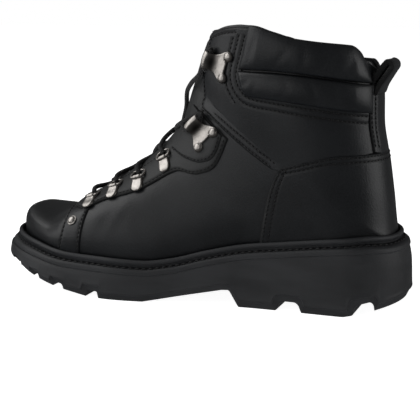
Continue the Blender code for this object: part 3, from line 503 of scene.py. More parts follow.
# Rivet of the toe strap: radius and height from its rim to its crown
HEAD_PROFILE = ((0.0, 0.0), (3.6, 0.0), (3.6, 0.35), (3.3, 0.6), (3.0, 0.65), (2.8, 0.95), (2.4, 1.45),
                (1.6, 1.9), (0.8, 2.1), (0.0, 2.15))
HEAD_SIDES = 40
HEAD_LIFT = 0.2
# Ring clips and rings: the clip's stand, ends, rounded foot, taper, rim and roll, and the ring's D
CLIP_FOOT = 0.1
CLIP_LOW = 0.6
CLIP_HIGH = 0.4
CLIP_ROUND = 3.4
CLIP_TAPER = 0.1
CLIP_GRID = (24, 19)
CLIP_EDGE = 3.2
CLIP_RIM = 0.25
CLIP_SWELL = 0.5
SWELL_WIDTH = 2.2
ROLL_HALF = 3.5
ROLL_POINTS = 15
ROLL_SIDES = 18
ROLL_SKIN = 0.75
BAR_LIFT = 0.2
RING_POINTS = 72
RING_SIDES = 12
RING_SQUARE = 0.72
RING_LOW = 0.45
RING_HIGH = 0.9
# Knots of the lace on the axes of a ring or a hook: along the spine, towards the throat and outward
Knot = namedtuple("Knot", "along toward out")
RING_KNOTS = (Knot(-1.3, RING_REACH + 1.2, -1.7), Knot(0.0, RING_REACH - 2.6, 0.0),
              Knot(1.6, RING_REACH + 1.2, 1.7))
LOW_HOOK_KNOTS = (Knot(-7.0, 2.2, 0.0), Knot(0.0, 0.0, 0.0), Knot(6.0, 2.6, 0.0))
TOP_HOOK_KNOTS = (Knot(-7.0, 2.2, 0.0), Knot(0.0, 0.0, 0.0), Knot(5.0, 1.4, 0.0), Knot(8.0, 3.4, 0.8))
LACE_SIDES = 14
LACE_TIMES = 14
# Where each half of the lace crosses the tongue above each ring; the over half is a step higher
Cross = namedtuple("Cross", "spine around height")
CROSSES = (Cross(-62.6, 1.0, 1.5), Cross(-46.0, 1.0, 1.7), Cross(-26.6, 1.0, 1.7), Cross(-2.0, 1.0, 2.4))
CROSS_STEP = 1.4
LACE_BAR = Cross(-74.5, 1.0, -0.9)
# Where each half leaves the tongue on its way to the next ring
BEYOND = (Cross(-57.0, 0.935, 2.7), Cross(-39.6, 0.935, 2.9), Cross(-18.0, 0.915, 3.6), Cross(8.0, 0.8, 3.6))
# From the lower hook to the upper one each half stays on its own side of the tongue
CLIMB = (Cross(24.0, 0.93, 3.4), Cross(33.0, 0.9, 4.6), Cross(46.0, 0.8, 4.4), Cross(58.6, 0.67, 3.4))
FAR_DROP = 1.6
# Finishes: sizes of what varies over them, in metres, one turn of a wave and the welt's lighter tint
CLOUD = 0.03
FOLD = 0.011
PORES = 0.45
STIPPLE = 0.0007
FLOW = 0.02
TARNISH = 0.004
HAIR = 0.0006
TWIST = 0.0004
TWIST_DEPTH = 0.0001
MOTTLE = 0.4
TURN = 6.283
SLANT = 1.4
WELT_TINT = 1.15
# Stage: the floor's half width and own glow, the camera's sensor in millimetres
FLOOR_HALF = 6.0
FLOOR_GLOW = 0.94
SENSOR = 36.0
# Square lamps round the boot, in metres
Lamp = namedtuple("Lamp", "name at size")
LAMPS = (
    Lamp("key", (-0.7, -0.75, 1.0), 1.3),
    Lamp("toe", (-1.15, -0.6, 0.35), 0.9),
    Lamp("front", (-0.4, -1.2, 0.3), 0.8),
    Lamp("heel", (1.25, 0.15, 0.35), 0.8),
    Lamp("top", (-0.9, -0.1, 1.1), 1.0),
)
LAMP_AIM = (0.0, 0.0, 0.09)


def through(xs, ys, at):
    """Smooth curve through points: cubics whose slopes are harmonic means, so it never overshoots."""
    xs, ys, at = (np.asarray(v, float) for v in (xs, ys, at))
    step = np.diff(xs)
    slope = np.diff(ys) / step
    lean = np.concatenate([slope[:1], np.zeros(len(slope) - 1), slope[-1:]])
    before, after = slope[:-1], slope[1:]
    same = before * after > 0
    first, second = 2 * step[1:] + step[:-1], step[1:] + 2 * step[:-1]
    safe_before, safe_after = np.where(same, before, 1.0), np.where(same, after, 1.0)
    lean[1:-1] = np.where(same, (first + second) / (first / safe_before + second / safe_after), 0.0)
    i = np.clip(np.searchsorted(xs, at) - 1, 0, len(step) - 1)
    t = np.clip((at - xs[i]) / step[i], 0.0, 1.0)
    bend = step[i] * t * (1 - t) * (lean[i] * (1 - t) - lean[i + 1] * t)
    return ys[i] * (1 + 2 * t) * (1 - t) ** 2 + ys[i + 1] * t * t * (3 - 2 * t) + bend


def column(rows, key, value, at):
    """One column of a table as a smooth function of another."""
    return through([getattr(r, key) for r in rows], [getattr(r, value) for r in rows], at)


def rounded(share, power):
    """Rise from 0 to 1 along a rounded end."""
    return (1 - (1 - np.clip(share, 0.0, 1.0)) ** power) ** (1 / power)


def to_spine(x, z):
    """Spine length and distance from the hinge of a side-view point."""
    x, z = np.asarray(x, float), np.asarray(z, float)
    turn = np.arctan2(np.maximum(x - HINGE_X, 0.0), HINGE_Z - z)
    ahead = x <= HINGE_X
    spine = np.where(ahead, x, HINGE_X + FAN_RADIUS * turn)
    return spine, np.where(ahead, HINGE_Z - z, np.hypot(x - HINGE_X, HINGE_Z - z))


def feather_z(x):
    """Height of the feather line at x: a smooth curve through its table."""
    return column(FEATHER, "x", "z", x)


def back_x(z):
    """Place of the back seam at a height: a smooth curve through its table."""
    return column(BACK, "z", "x", z)


def ridge_samples():
    """Spine and reach along the ridge, which rises from the toe's front in a rounded brow."""
    x = TOE_END + (RIDGE[-1].x - TOE_END) * np.linspace(0.0, 1.0, SAMPLES) ** 2
    z = column(RIDGE, "x", "z", x)
    return to_spine(x, TOE_FRONT + (z - TOE_FRONT) * rounded((x - TOE_END) / TOE_BROW, BROW_POWER))


def base_samples():
    """Spine, reach and x along the feather line and on up the back seam."""
    x = TOE_END + (HEEL_END - TOE_END) * (1 - np.cos(np.linspace(0.0, np.pi, SAMPLES))) / 2
    z = np.linspace(BACK[0].z, BACK[-1].z, SAMPLES)[1:]
    line_x = np.append(x, back_x(z))
    line_z = np.append(feather_z(x), z)
    return *to_spine(line_x, line_z), np.append(x, np.full(len(z), HEEL_END))


def bell(value, width):
    """Hump of height 1 at zero that dies away over a width."""
    return np.exp(-(np.asarray(value, float) / width) ** 2)


RIDGE_SPINE, RIDGE_REACH = ridge_samples()
BASE_SPINE, BASE_REACH, BASE_X = base_samples()
HEEL_SPINE = float(to_spine(HEEL_END, FEATHER[-1].z)[0])


def outline(along, side_out, heel_out, toe_out):
    """x, half width and centre of the feather plan grown outward, at shares of the length from the heel."""
    heel, toe = HEEL_END + heel_out, TOE_END - toe_out
    x = heel + (toe - heel) * along
    ends = rounded((x - toe) / TOE_ROUND, TOE_POWER) * rounded((heel - x) / HEEL_ROUND, HEEL_POWER)
    half = (column(PLAN, "along", "half", along) + side_out) * ends
    return x, half, column(PLAN, "along", "centre", along)


def section(spine):
    """Reach of ridge, widest line and base from the hinge, half widths and shape of the sections."""
    top = np.interp(spine, RIDGE_SPINE, RIDGE_REACH)
    base = np.interp(spine, BASE_SPINE, BASE_REACH)
    along = (HEEL_END - np.interp(spine, BASE_SPINE, BASE_X)) / (HEEL_END - TOE_END)
    _, foot, centre = outline(along, 0.0, 0.0, 0.0)
    girth = Girth(spine, *(column(GIRTH, "spine", name, spine) for name in Girth._fields[1:]))
    half = girth.half * rounded((spine - TOE_END) / TOE_ROUND, TOE_POWER)
    return top, top + girth.level * (base - top), base, half, np.minimum(foot, half), centre, girth


def last(spine, around, side):
    """Point of the last: around is -1 at the feather or back seam, 0 at the widest and 1 on the ridge."""
    spine, around = np.broadcast_arrays(np.asarray(spine, float), np.asarray(around, float))
    top, widest, base, half, foot, centre, girth = section(spine)
    bend = np.sin(np.abs(around) * np.pi / 2) ** 2
    kept = (foot / np.maximum(half, 1e-9)) ** girth.base_power
    above = around >= 0
    rise = widest - (widest - top) * bend ** (1 / girth.top_power)
    fall = widest + (base - widest) * bend ** (1 / girth.base_power)
    reach = np.where(above, rise, fall)
    tuck = np.where(above, (1 - bend) ** (1 / girth.top_power),
                    np.maximum(1 - (1 - kept) * bend, 0.0) ** (1 / girth.base_power))
    middle = centre + (girth.ridge_centre - centre) * np.maximum(around, 0.0) ** 2
    turn = np.maximum(spine - HINGE_X, 0.0) / FAN_RADIUS
    x = np.minimum(spine, HINGE_X) + reach * np.sin(turn)
    return np.stack([x, middle + side * half * tuck, HINGE_Z - reach * np.cos(turn)], -1)


def place(x, z):
    """Spine and around of a side-view point, the inverse of last()."""
    spine, reach = to_spine(x, z)
    top, widest, base, _, _, _, girth = section(spine)
    up = np.clip((widest - reach) / (widest - top), 0.0, 1.0) ** girth.top_power
    down = np.clip((reach - widest) / (base - widest), 0.0, 1.0) ** girth.base_power
    around = np.where(reach <= widest, np.arcsin(np.sqrt(up)), -np.arcsin(np.sqrt(down)))
    return spine, around * 2 / np.pi


def throat_edge(spine):
    """Turn around the section where the throat begins, 1 where the vamp is closed."""
    _, _, _, half, _, _, girth = section(spine)
    open_share = rounded((spine - THROAT_END) / THROAT_ROUND, 2.0)
    gap = column(THROAT, "spine", "gap", spine) * open_share
    return np.arccos(np.clip(gap / np.maximum(half, 1e-9), 0.0, 1.0) ** (girth.top_power / 2)) * 2 / np.pi


def inner_dip(around, side):
    """Spine length that the inner side's collar loses, nothing on the outer side."""
    return column(INNER_DIP, "around", "depth", around) * (side > 0)


def unit(v):
    """Vectors divided by their lengths."""
    return v / np.maximum(np.linalg.norm(v, axis=-1, keepdims=True), 1e-12)


def normals(spine, around, side):
    """Outward unit normals of the last, from its slopes along the spine and around the section."""
    along = last(spine + SPINE_STEP, around, side) - last(spine - SPINE_STEP, around, side)
    turn = np.clip(around, -TURN_LIMIT, TURN_LIMIT)
    across = last(spine, turn + TURN_STEP, side) - last(spine, turn - TURN_STEP, side)
    return unit(np.cross(along, across)) * -side


def lifted(spine, around, side, height):
    """Points a height above the last."""
    height = np.asarray(height, float)
    return last(spine, around, side) + normals(spine, around, side) * height[..., None]


def frame_at(spine, around, side, lift):
    """Origin and unit axes on the last: along the spine, toward the ridge and outward."""
    spine, around = np.float64(spine), np.float64(around)
    out = normals(spine, around, side)
    toward = last(spine, around + SPINE_STEP, side) - last(spine, around - SPINE_STEP, side)
    toward = unit(toward - out * np.dot(toward, out))
    return last(spine, around, side) + out * lift, np.cross(toward, out) * side, toward, out


def raised(spine, around, side, height):
    """Points a height above the upper, which stands a gap over the last, and the normals there."""
    out = normals(spine, around, side)
    return last(spine, around, side) + out * np.asarray(height, float)[..., None] + [0.0, 0.0, GAP], out


def fine(stations, times):
    """Stations with every interval split into the same number of equal parts."""
    at = np.linspace(0.0, len(stations) - 1.0, (len(stations) - 1) * times + 1)
    return np.interp(at, np.arange(len(stations)), stations)


def cosine(n, start=0.0, end=1.0):
    """n + 1 shares from start to end, close together at both."""
    return start + (end - start) * (1 - np.cos(np.linspace(0.0, np.pi, n + 1))) / 2


def run_of(path):
    """Length along a path up to each of its points."""
    return np.concatenate([[0.0], np.cumsum(np.linalg.norm(np.diff(path, axis=0), axis=1))])


def resampled(path, at):
    """Points of a path at given lengths along it."""
    run = run_of(path)
    return np.stack([np.interp(at, run, path[:, k]) for k in range(path.shape[1])], -1)


def smooth_path(knots, count):
    """Curve through knots: a cubic for each span, with slopes taken over the length to the knots beside."""
    knots = np.asarray(knots, float)
    run = run_of(knots)
    slope = np.gradient(knots, run, axis=0)
    step = np.diff(run)[:, None]
    t = np.linspace(0.0, 1.0, count, endpoint=False)[None, :, None]
    a, b, sa, sb = (v[:, None] for v in (knots[:-1], knots[1:], slope[:-1] * step, slope[1:] * step))
    spans = (a * (2 * t ** 3 - 3 * t ** 2 + 1) + sa * (t ** 3 - 2 * t ** 2 + t)
             + b * (3 * t ** 2 - 2 * t ** 3) + sb * (t ** 3 - t ** 2))
    return np.concatenate([spans.reshape(-1, 3), knots[-1:]])


def carried_axes(path, first=None, closed=False):
    """Two unit axes across a path, carried along it with no twist."""
    ahead = np.roll(path, -1, 0) - np.roll(path, 1, 0) if closed else np.gradient(path, axis=0)
    ahead = unit(ahead)
    guess = np.eye(3)[np.argmin(np.abs(ahead[0]))] if first is None else np.asarray(first, float)
    up = np.empty_like(path)
    for i, way in enumerate(ahead):
        guess = unit(guess - way * np.dot(guess, way))
        up[i] = guess
    return up, np.cross(ahead, up)


def quads_of(n, m, wrap_rows=False, wrap_columns=False):
    """Corner numbers of the quads over an n by m grid of points."""
    i = np.arange(n if wrap_rows else n - 1)[:, None]
    j = np.arange(m if wrap_columns else m - 1)[None, :]
    i2, j2 = (i + 1) % n, (j + 1) % m
    return np.stack(np.broadcast_arrays(i * m + j, i * m + j2, i2 * m + j2, i2 * m + j), -1).reshape(-1, 4)


class Shells:
    """Grids of points gathered for the one mesh of a piece, with a painted shade value and a place in its
    pattern each.
    """

    def __init__(self):
        self.points, self.faces, self.tones, self.places = [], [], [], []
        self.count = 0

    def grid(self, points, wrap_rows=False, wrap_columns=False, tone=0.0, run=0.0):
        """Adds a grid; its painted shade darkens seams, roll rims and hook necks, and run is the length
        along a cord for its braid.
        """
        n, m = points.shape[:2]
        start = self.count
        self.points.append(points.reshape(-1, 3))
        self.faces.append(quads_of(n, m, wrap_rows, wrap_columns) + start)
        self.tones.append(np.broadcast_to(tone, (n, m)).ravel())
        self.places.append(np.broadcast_to(run, (n, m)).ravel())
        self.count += n * m
        return start

    def sheet(self, top, under, tone=0.0):
        """Closed sheet: two grids of the same shape and the rim between their borders."""
        n, m = top.shape[:2]
        a = self.grid(top, tone=tone)
        b = self.grid(under, tone=tone)
        ring = np.concatenate([np.arange(m), np.arange(2 * m - 1, n * m, m),
                               np.arange(n * m - 2, (n - 1) * m - 1, -1), np.arange((n - 2) * m, 0, -m)])
        after = np.roll(ring, -1)
        self.faces.append(np.stack([a + ring, a + after, b + after, b + ring], -1))

    def bar(self, path, radius, sides, first=None, closed=False):
        """Rod carried along a path: circles of a radius across it; open ends close as half balls."""
        up, over = carried_axes(path, first, closed)
        radius = np.full(len(path), radius)
        run = run_of(path)
        if not closed:
            ends = np.minimum(run, run[-1] - run) / np.maximum(radius, 1e-6)
            radius = radius * np.sqrt(np.clip(1 - (1 - np.clip(ends, 0.0, 1.0)) ** 2, 0.0, 1.0))
        angle = np.linspace(0.0, 2 * np.pi, sides, endpoint=False)
        ring = up[:, None] * np.cos(angle)[:, None] + over[:, None] * np.sin(angle)[:, None]
        self.grid(path[:, None] + ring * radius[:, None, None], closed, True, run=run[:, None])

    def turned(self, origin, axes, profile, sides):
        """Turned head: a profile of radius and height swung round its axis."""
        along, toward, out = axes
        angle = np.linspace(0.0, 2 * np.pi, sides, endpoint=False)
        ring = along * np.cos(angle)[:, None] + toward * np.sin(angle)[:, None]
        profile = np.asarray(profile, float)
        self.grid(origin + ring[None] * profile[:, :1, None] + out * profile[:, 1:, None], False, True)

    def stitches(self, path, out, pitch, length, thread):
        """Row of thread: short capsules one pitch apart on a path, whose ends dip into the leather."""
        run = run_of(path)
        count = max(int(run[-1] / pitch), 1)
        middle = (np.arange(count) + 0.5) * run[-1] / count
        centre = resampled(path, middle)
        ahead = unit(resampled(path, middle + length / 2) - resampled(path, middle - length / 2))
        up = unit(np.stack([np.interp(middle, run, out[:, k]) for k in range(3)], -1))
        over = np.cross(ahead, up)
        share = STITCH_SHARES
        girth = np.sqrt(1 - share ** 4) * thread / 2
        angle = np.linspace(0.0, 2 * np.pi, STITCH_SIDES, endpoint=False)
        ring = over[:, None] * np.cos(angle)[None, :, None] + up[:, None] * np.sin(angle)[None, :, None]
        line = centre[:, None] + ahead[:, None] * (share * length / 2)[None, :, None]
        line = line + up[:, None] * (thread * (STITCH_RISE - STITCH_DIP * share ** 2))[None, :, None]
        points = line[:, :, None] + ring[:, None] * girth[None, :, None, None]
        each = len(share) * STITCH_SIDES
        faces = quads_of(len(share), STITCH_SIDES, False, True)
        start = self.count + np.arange(count) * each
        self.points.append(points.reshape(-1, 3))
        self.faces.append((faces[None] + start[:, None, None]).reshape(-1, 4))
        self.tones.append(np.zeros(count * each))
        self.places.append(np.zeros(count * each))
        self.count += count * each

    def piece(self, name, finish, slot, replaces=(), sharp=40.0, wall=0.0):
        """Makes the object: merges doubles, turns faces outward, gives an open shell its wall."""
        mesh = bpy.data.meshes.new(name)
        points = (np.concatenate(self.points) + SHIFT) * MM
        mesh.from_pydata(points.tolist(), [], np.concatenate(self.faces).tolist())
        for label, values in (("tone", self.tones), ("run", self.places)):
            mesh.attributes.new(label, "FLOAT", "POINT").data.foreach_set("value", np.concatenate(values))
        bm = bmesh.new()
        bm.from_mesh(mesh)
        bmesh.ops.remove_doubles(bm, verts=bm.verts, dist=2e-6)
        bmesh.ops.dissolve_degenerate(bm, edges=bm.edges, dist=1e-7)
        bmesh.ops.recalc_face_normals(bm, faces=bm.faces)
        bm.to_mesh(mesh)
        bm.free()
        mesh.shade_smooth()
        mesh.set_sharp_from_angle(angle=np.radians(sharp))
        mesh.materials.append(finish)
        obj = bpy.data.objects.new(name, mesh)
        bpy.context.scene.collection.objects.link(obj)
        if wall:
            shell = obj.modifiers.new("wall", "SOLIDIFY")
            shell.thickness = wall * MM
            shell.offset = -1.0
        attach(obj, "root")
        if replaces:
            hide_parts(*replaces)
        return obj


def borders(points):
    """Distances in a grid from its front, back, low and high border, measured along its own lines."""
    along = np.linalg.norm(np.diff(points, axis=0), axis=-1)
    across = np.linalg.norm(np.diff(points, axis=1), axis=-1)
    front = np.vstack([np.zeros((1, points.shape[1])), np.cumsum(along, 0)])
    low = np.hstack([np.zeros((points.shape[0], 1)), np.cumsum(across, 1)])
    return {"front": front, "back": front[-1:] - front, "low": low, "high": low[:, -1:] - low}


def row_on(values, reach, edge, inset):
    """Values of a grid along the line an inset away from one border, by straight interpolation."""
    measure = reach[edge]
    if edge in ("front", "back"):
        measure, values = measure.T, values.swapaxes(0, 1)
    if edge in ("back", "high"):
        measure, values = measure[:, ::-1], values[:, ::-1]
    after = np.clip((measure < inset).sum(1), 1, measure.shape[1] - 1)
    k = np.arange(len(measure))
    low, high = measure[k, after - 1], measure[k, after]
    share = np.clip((inset - low) / np.maximum(high - low, 1e-9), 0.0, 1.0)[:, None]
    return values[k, after - 1] * (1 - share) + values[k, after] * share


class Sewing:
    """Leather panels and the stitch rows that hold them, gathered for one group of pieces."""

    def __init__(self, sizes):
        self.sizes = sizes
        self.threads = Shells()

    def panel(self, base, out, thick, cut, rows, crown=0.0):
        """Panel on a grid: a quarter round at its cut edges and a trough under each row of stitches."""
        reach = borders(base)
        near = np.minimum.reduce([reach[edge] for edge in cut])
        rise = thick * (EDGE_FOOT + (1 - EDGE_FOOT) * rounded(near / EDGE_ROUND, 2.0)) + crown
        # Painted shade: darker along the cut edges and in the trough under each stitch row
        tone = bell(near, EDGE_SHADE)
        for row in rows:
            ends = ("low", "high") if row.edge in ("front", "back") else ("front", "back")
            first, second = (np.clip(reach[end] - skip, 0.0, 1.0) for end, skip in zip(ends, row.skip))
            trough = bell(reach[row.edge] - row.inset, ROW_WIDTH) * first * second
            rise = rise - ROW_DEPTH * trough
            tone = np.maximum(tone, ROW_SHADE * trough)
        top = base + out * rise[..., None]
        for row in rows:
            path, way = (row_on(values, reach, row.edge, row.inset) for values in (top, out))
            self.row(path, way, row.skip)
        shells = Shells()
        shells.sheet(top, base, tone)
        return shells

    def row(self, path, out, skip):
        """One stitch row on a path, less what is skipped at its two ends."""
        sizes = self.sizes
        run = run_of(path)
        at = np.linspace(skip[0], run[-1] - skip[1], max(int(run[-1] / STITCH_STEP), 2))
        self.threads.stitches(resampled(path, at),
                              np.stack([np.interp(at, run, out[:, k]) for k in range(3)], -1),
                              sizes.stitch_pitch / MM, sizes.stitch_length / MM, sizes.thread / MM)


def both_halves(halves, axis, end=False):
    """Lateral and medial grids joined on the line where they meet, which is set on the middle plane."""
    near, far = halves
    if end:
        near, far = np.flip(near, axis), np.flip(far, axis)
    seam = np.take(near, [0], axis) * 0.5 + np.take(far, [0], axis) * 0.5
    keep = np.arange(1, near.shape[axis])
    return np.concatenate([np.flip(np.take(near, keep, axis), axis), seam, np.take(far, keep, axis)], axis)


def upper_stations():
    """Spine lengths of the upper's sections, close together at the toe and the heel."""
    toe = TOE_END + (THROAT_END - TOE_END) * (1 - np.cos(np.linspace(0.0, np.pi / 2, TOE_STATIONS)))
    foot = to_spine(FOOT_STATIONS, feather_z(FOOT_STATIONS))[0]
    heel = to_spine(back_x(HEEL_STATIONS), HEEL_STATIONS)[0]
    return np.concatenate([toe, THROAT_STATIONS, [HINGE_X], foot, [HEEL_SPINE], heel, [COLLAR_START]])


def upper_field(side):
    """Spine and around over half the upper: sections up to the collar, then rows that close on its edge."""
    spine = fine(upper_stations(), UPPER_TIMES)
    turn = np.concatenate([np.linspace(-1.0, 0.0, LOW_TURNS), np.linspace(0.0, 1.0, HIGH_TURNS)[1:]])
    edge = throat_edge(spine)
    around = np.where(turn[None, :] > 0, turn[None, :] * edge[:, None], turn[None, :])
    length = np.broadcast_to(spine[:, None], around.shape)
    rim_turn = np.where(turn > 0, turn * float(throat_edge(np.float64(RIM_SPINE))), turn)
    rim = column(COLLAR, "around", "spine", rim_turn) - inner_dip(rim_turn, side)
    share = np.linspace(0.0, 1.0, COLLAR_ROWS + 1)[1:, None]
    rows = COLLAR_START + (rim[None, :] - COLLAR_START) * share
    tops = np.where(turn[None, :] > 0, turn[None, :] * throat_edge(rows), turn[None, :])
    return np.vstack([length, rows]), np.vstack([around, tops])


def upper_relief(spine, around, side):
    """Height of the upper's own skin: soft creases from the table, each a hump or trough with a lean."""
    spot = last(spine, around, side)[..., (0, 2)]
    height = np.zeros(spine.shape)
    for crease in CREASES:
        way = np.radians(crease.lean)
        dx, dz = spot[..., 0] - crease.x, spot[..., 1] - crease.z
        along = dx * np.cos(way) + dz * np.sin(way)
        across = dz * np.cos(way) - dx * np.sin(way)
        height += crease.rise * bell(along, crease.length) * bell(across, crease.width)
    return height


def patch(table, columns, rows):
    """Spine and around over the side-view field between a low and a high edge, front to back."""
    number = np.arange(len(table))
    at = np.linspace(0.0, len(table) - 1.0, columns + 1)
    low_x, low_z, high_x, high_z = (through(number, values, at)[:, None] for values in zip(*table))
    t = np.linspace(0.0, 1.0, rows + 1)[None, :]
    return place(low_x * (1 - t) + high_x * t, low_z * (1 - t) + high_z * t)


def between(low, high, columns, rows):
    """Spine and around between a traced edge and the throat over a span of the spine."""
    share = np.linspace(0.0, 1.0, columns + 1)
    low_spine = low[0].spine + (low[-1].spine - low[0].spine) * share
    low_around = column(low, "spine", "around", low_spine)
    high_spine = high.start + (high.end - high.start) * share
    high_around = throat_edge(high_spine) - THROAT_SHY
    t = np.linspace(0.0, 1.0, rows + 1)[None, :]
    return (low_spine[:, None] * (1 - t) + high_spine[:, None] * t,
            low_around[:, None] * (1 - t) + high_around[:, None] * t)


def strap_field(columns, rows):
    """Spine and around over the toe strap, between its front and back edges and from the welt up."""
    share = np.linspace(0.0, 1.0, rows + 1)
    edges = []
    for edge in (STRAP_FRONT, STRAP_BACK):
        low = float(feather_z(edge[0].x)) + STRAP_FOOT
        z = low + (edge[-1].z - low) * share
        edges.append(np.stack([column(edge, "z", "x", z), z], -1))
    t = np.linspace(0.0, 1.0, columns + 1)[:, None, None]
    field = edges[0] * (1 - t) + edges[1] * t
    return place(field[..., 0], field[..., 1])


def shaft_field(side, rows):
    """Spine and around over the shaft panel: a ribbon between its outer edge and the edge round the pads."""
    inner = [place(edge.x, edge.z) for edge in SHAFT_INNER + tuple(Line(*pair[2:]) for pair in SHAFT_PAIRS)]
    throat = [(spine, float(throat_edge(np.float64(spine))) - SHAFT_SHY) for spine in SHAFT_THROAT]
    outer = throat + [place(pair.x, pair.z) for pair in SHAFT_PAIRS]
    tops = [(float(column(COLLAR, "around", "spine", turn)) - COLLAR_SHY, turn) for turn in SHAFT_TOP]
    number = np.arange(len(outer) + 1)
    at = fine(number, SHAFT_TIMES)
    low, high = (np.stack([through(number, values, at) for values in zip(*line)], -1)
                 for line in (tops[:1] + outer, tops[1:] + inner))
    t = np.linspace(0.0, 1.0, rows + 1)[None, :]
    spine, around = (low[:, k, None] * (1 - t) + high[:, k, None] * t for k in range(2))
    fade = np.clip(1 - at / SHAFT_EASE, 0.0, 1.0)[:, None] ** 2
    rim = column(COLLAR, "around", "spine", around[:1]) - COLLAR_SHY - inner_dip(around[:1], side)
    return spine + (rim - spine[:1]) * fade, around


def counter_field(columns, rows):
    """Spine and around over half the heel counter, from its front edge to the back seam."""
    t = np.linspace(0.0, 1.0, rows + 1)[None, :]
    share = np.sin(np.linspace(0.0, 1.0, columns + 1) * np.pi / 2)[:, None]
    front = column(COUNTER_FRONT, "share", "x", t)
    top = column(COUNTER_TOP, "share", "z", share)
    foot_x = COUNTER_FRONT[0].x + (HEEL_END - COUNTER_FRONT[0].x) * share
    z = (feather_z(foot_x) + STRAP_FOOT) * (1 - t) + top * t
    spine, around = place(front + (back_x(z) - front) * share, z)
    around[-1] = -1.0
    return spine, around


def tread_z(x):
    """Height of the tread at x: straight lines between the rows of its table."""
    return np.interp(x, [r.x for r in TREAD], [r.z for r in TREAD])


def notch_rise(x, grow):
    """How far the tread is cut away at x: flat-topped humps with sloped walls, widened by a growth."""
    rise = np.zeros(np.shape(x))
    for cut in LUG_CUTS:
        inside = np.minimum(cut.rear + grow - x, x - cut.front + grow)
        wall = np.clip(inside / (cut.slope + NOTCH_EASE), 0.0, 1.0)
        depth = cut.depth - tread_z((cut.rear + cut.front) / 2)
        rise = np.maximum(rise, depth * np.sqrt(1 - (1 - wall) ** 2))
    return rise


def sole_rings():
    """Rings of the sole's wall from the tread's edge to its seat: table rows joined by smooth curves."""
    number = np.arange(len(SOLE_WALL))
    at = fine(number, WALL_TIMES)
    side, heel, toe, share, drop, grow = (through(number, values, at) for values in zip(*SOLE_WALL))
    along = cosine(SOLE_STATIONS)
    rings = []
    for k in range(len(at)):
        x, half, centre = outline(along, side[k], heel[k], toe[k])
        low, high = tread_z(x), feather_z(x)
        cut = notch_rise(x, grow[k]) * np.clip(1 - share[k] / CUT_SHARE, 0.0, 1.0)
        ease = np.minimum(1.0, (high - low) / EASE_HEIGHT) if drop[k] > 0 else 1.0
        z = low + (high - low) * share[k] + drop[k] * ease + cut
        rings.append((x, half, centre, z))
    return rings


def ring_loop(x, half, centre, z):
    """Closed loop of points down the lateral side of an outline and back up the medial side."""
    lateral = np.stack([x, centre - half, z], -1)
    medial = np.stack([x, centre + half, z], -1)
    return np.concatenate([lateral, medial[-2:0:-1]])


def across_grid(x, half, centre, z, columns):
    """Grid across an outline at every station, from the lateral edge to the medial one."""
    share = np.linspace(-1.0, 1.0, columns)
    y = centre[:, None] + half[:, None] * share
    return np.stack([np.broadcast_to(x[:, None], y.shape), y, np.broadcast_to(z[:, None], y.shape)], -1)


def loop_around(along, out, up):
    """Closed ring of points round the feather plan grown by a margin, at a height over its line."""
    x, half, centre = outline(along, out, out, out)
    return ring_loop(x, half, centre, feather_z(x) + up)


def ring_frame(row, side):
    """Bar, axes and reach of a lace ring: its bar lies at its clip and its bow leans over the throat."""
    origin, along, toward, out = frame_at(row.spine, row.around, side, row.lift + GAP)
    bar = origin + toward * (CLIP_LENGTH / 2 + RING_WIRE + GAP) + out * (RING_WIRE + BAR_LIFT)
    tip = unit(lifted(np.float64(row.spine), np.float64(RING_AROUND), side, RING_LIFT) - bar)
    face = np.cross(along, tip)
    return bar, along, tip, face * np.sign(np.dot(face, out))


def over_tongue(spot, side, rise=0.0):
    """Point at a height over the last, given as a row of a crossing table."""
    return lifted(np.float64(spot.spine), np.float64(spot.around), side, np.float64(spot.height + rise))


def crest_point(spot, rise=0.0):
    """Point over the middle of the tongue: halfway between the two sides' points near the ridge."""
    crest = spot._replace(around=CREST_AROUND)
    return (over_tongue(crest, LATERAL, rise) + over_tongue(crest, MEDIAL, rise)) / 2


def cord_knots(first, over):
    """Knots of half the lace: up through each ring from below, under each hook, crossing between them."""
    side = first
    knots = []
    for row, cross, beyond in zip(RINGS, CROSSES, BEYOND):
        bar, along, tip, face = ring_frame(row, side)
        knots.extend(bar + along * k.along + tip * k.toward + face * k.out for k in RING_KNOTS)
        knots.append(crest_point(cross, CROSS_STEP * over))
        side = -side
        knots.append(over_tongue(beyond, side))
    for row, table in zip(HOOKS, (LOW_HOOK_KNOTS, TOP_HOOK_KNOTS)):
        origin, along, toward, out = frame_at(row.spine, row.around, side, row.lift + GAP)
        under = origin + toward * HOOK_TUNNEL + out * HOOK_CLEAR
        knots.extend(under + along * k.along + toward * k.toward + out * k.out for k in table)
        if row is HOOKS[0]:
            knots.extend(over_tongue(spot, side, -FAR_DROP * (side > 0)) for spot in CLIMB)
    return knots


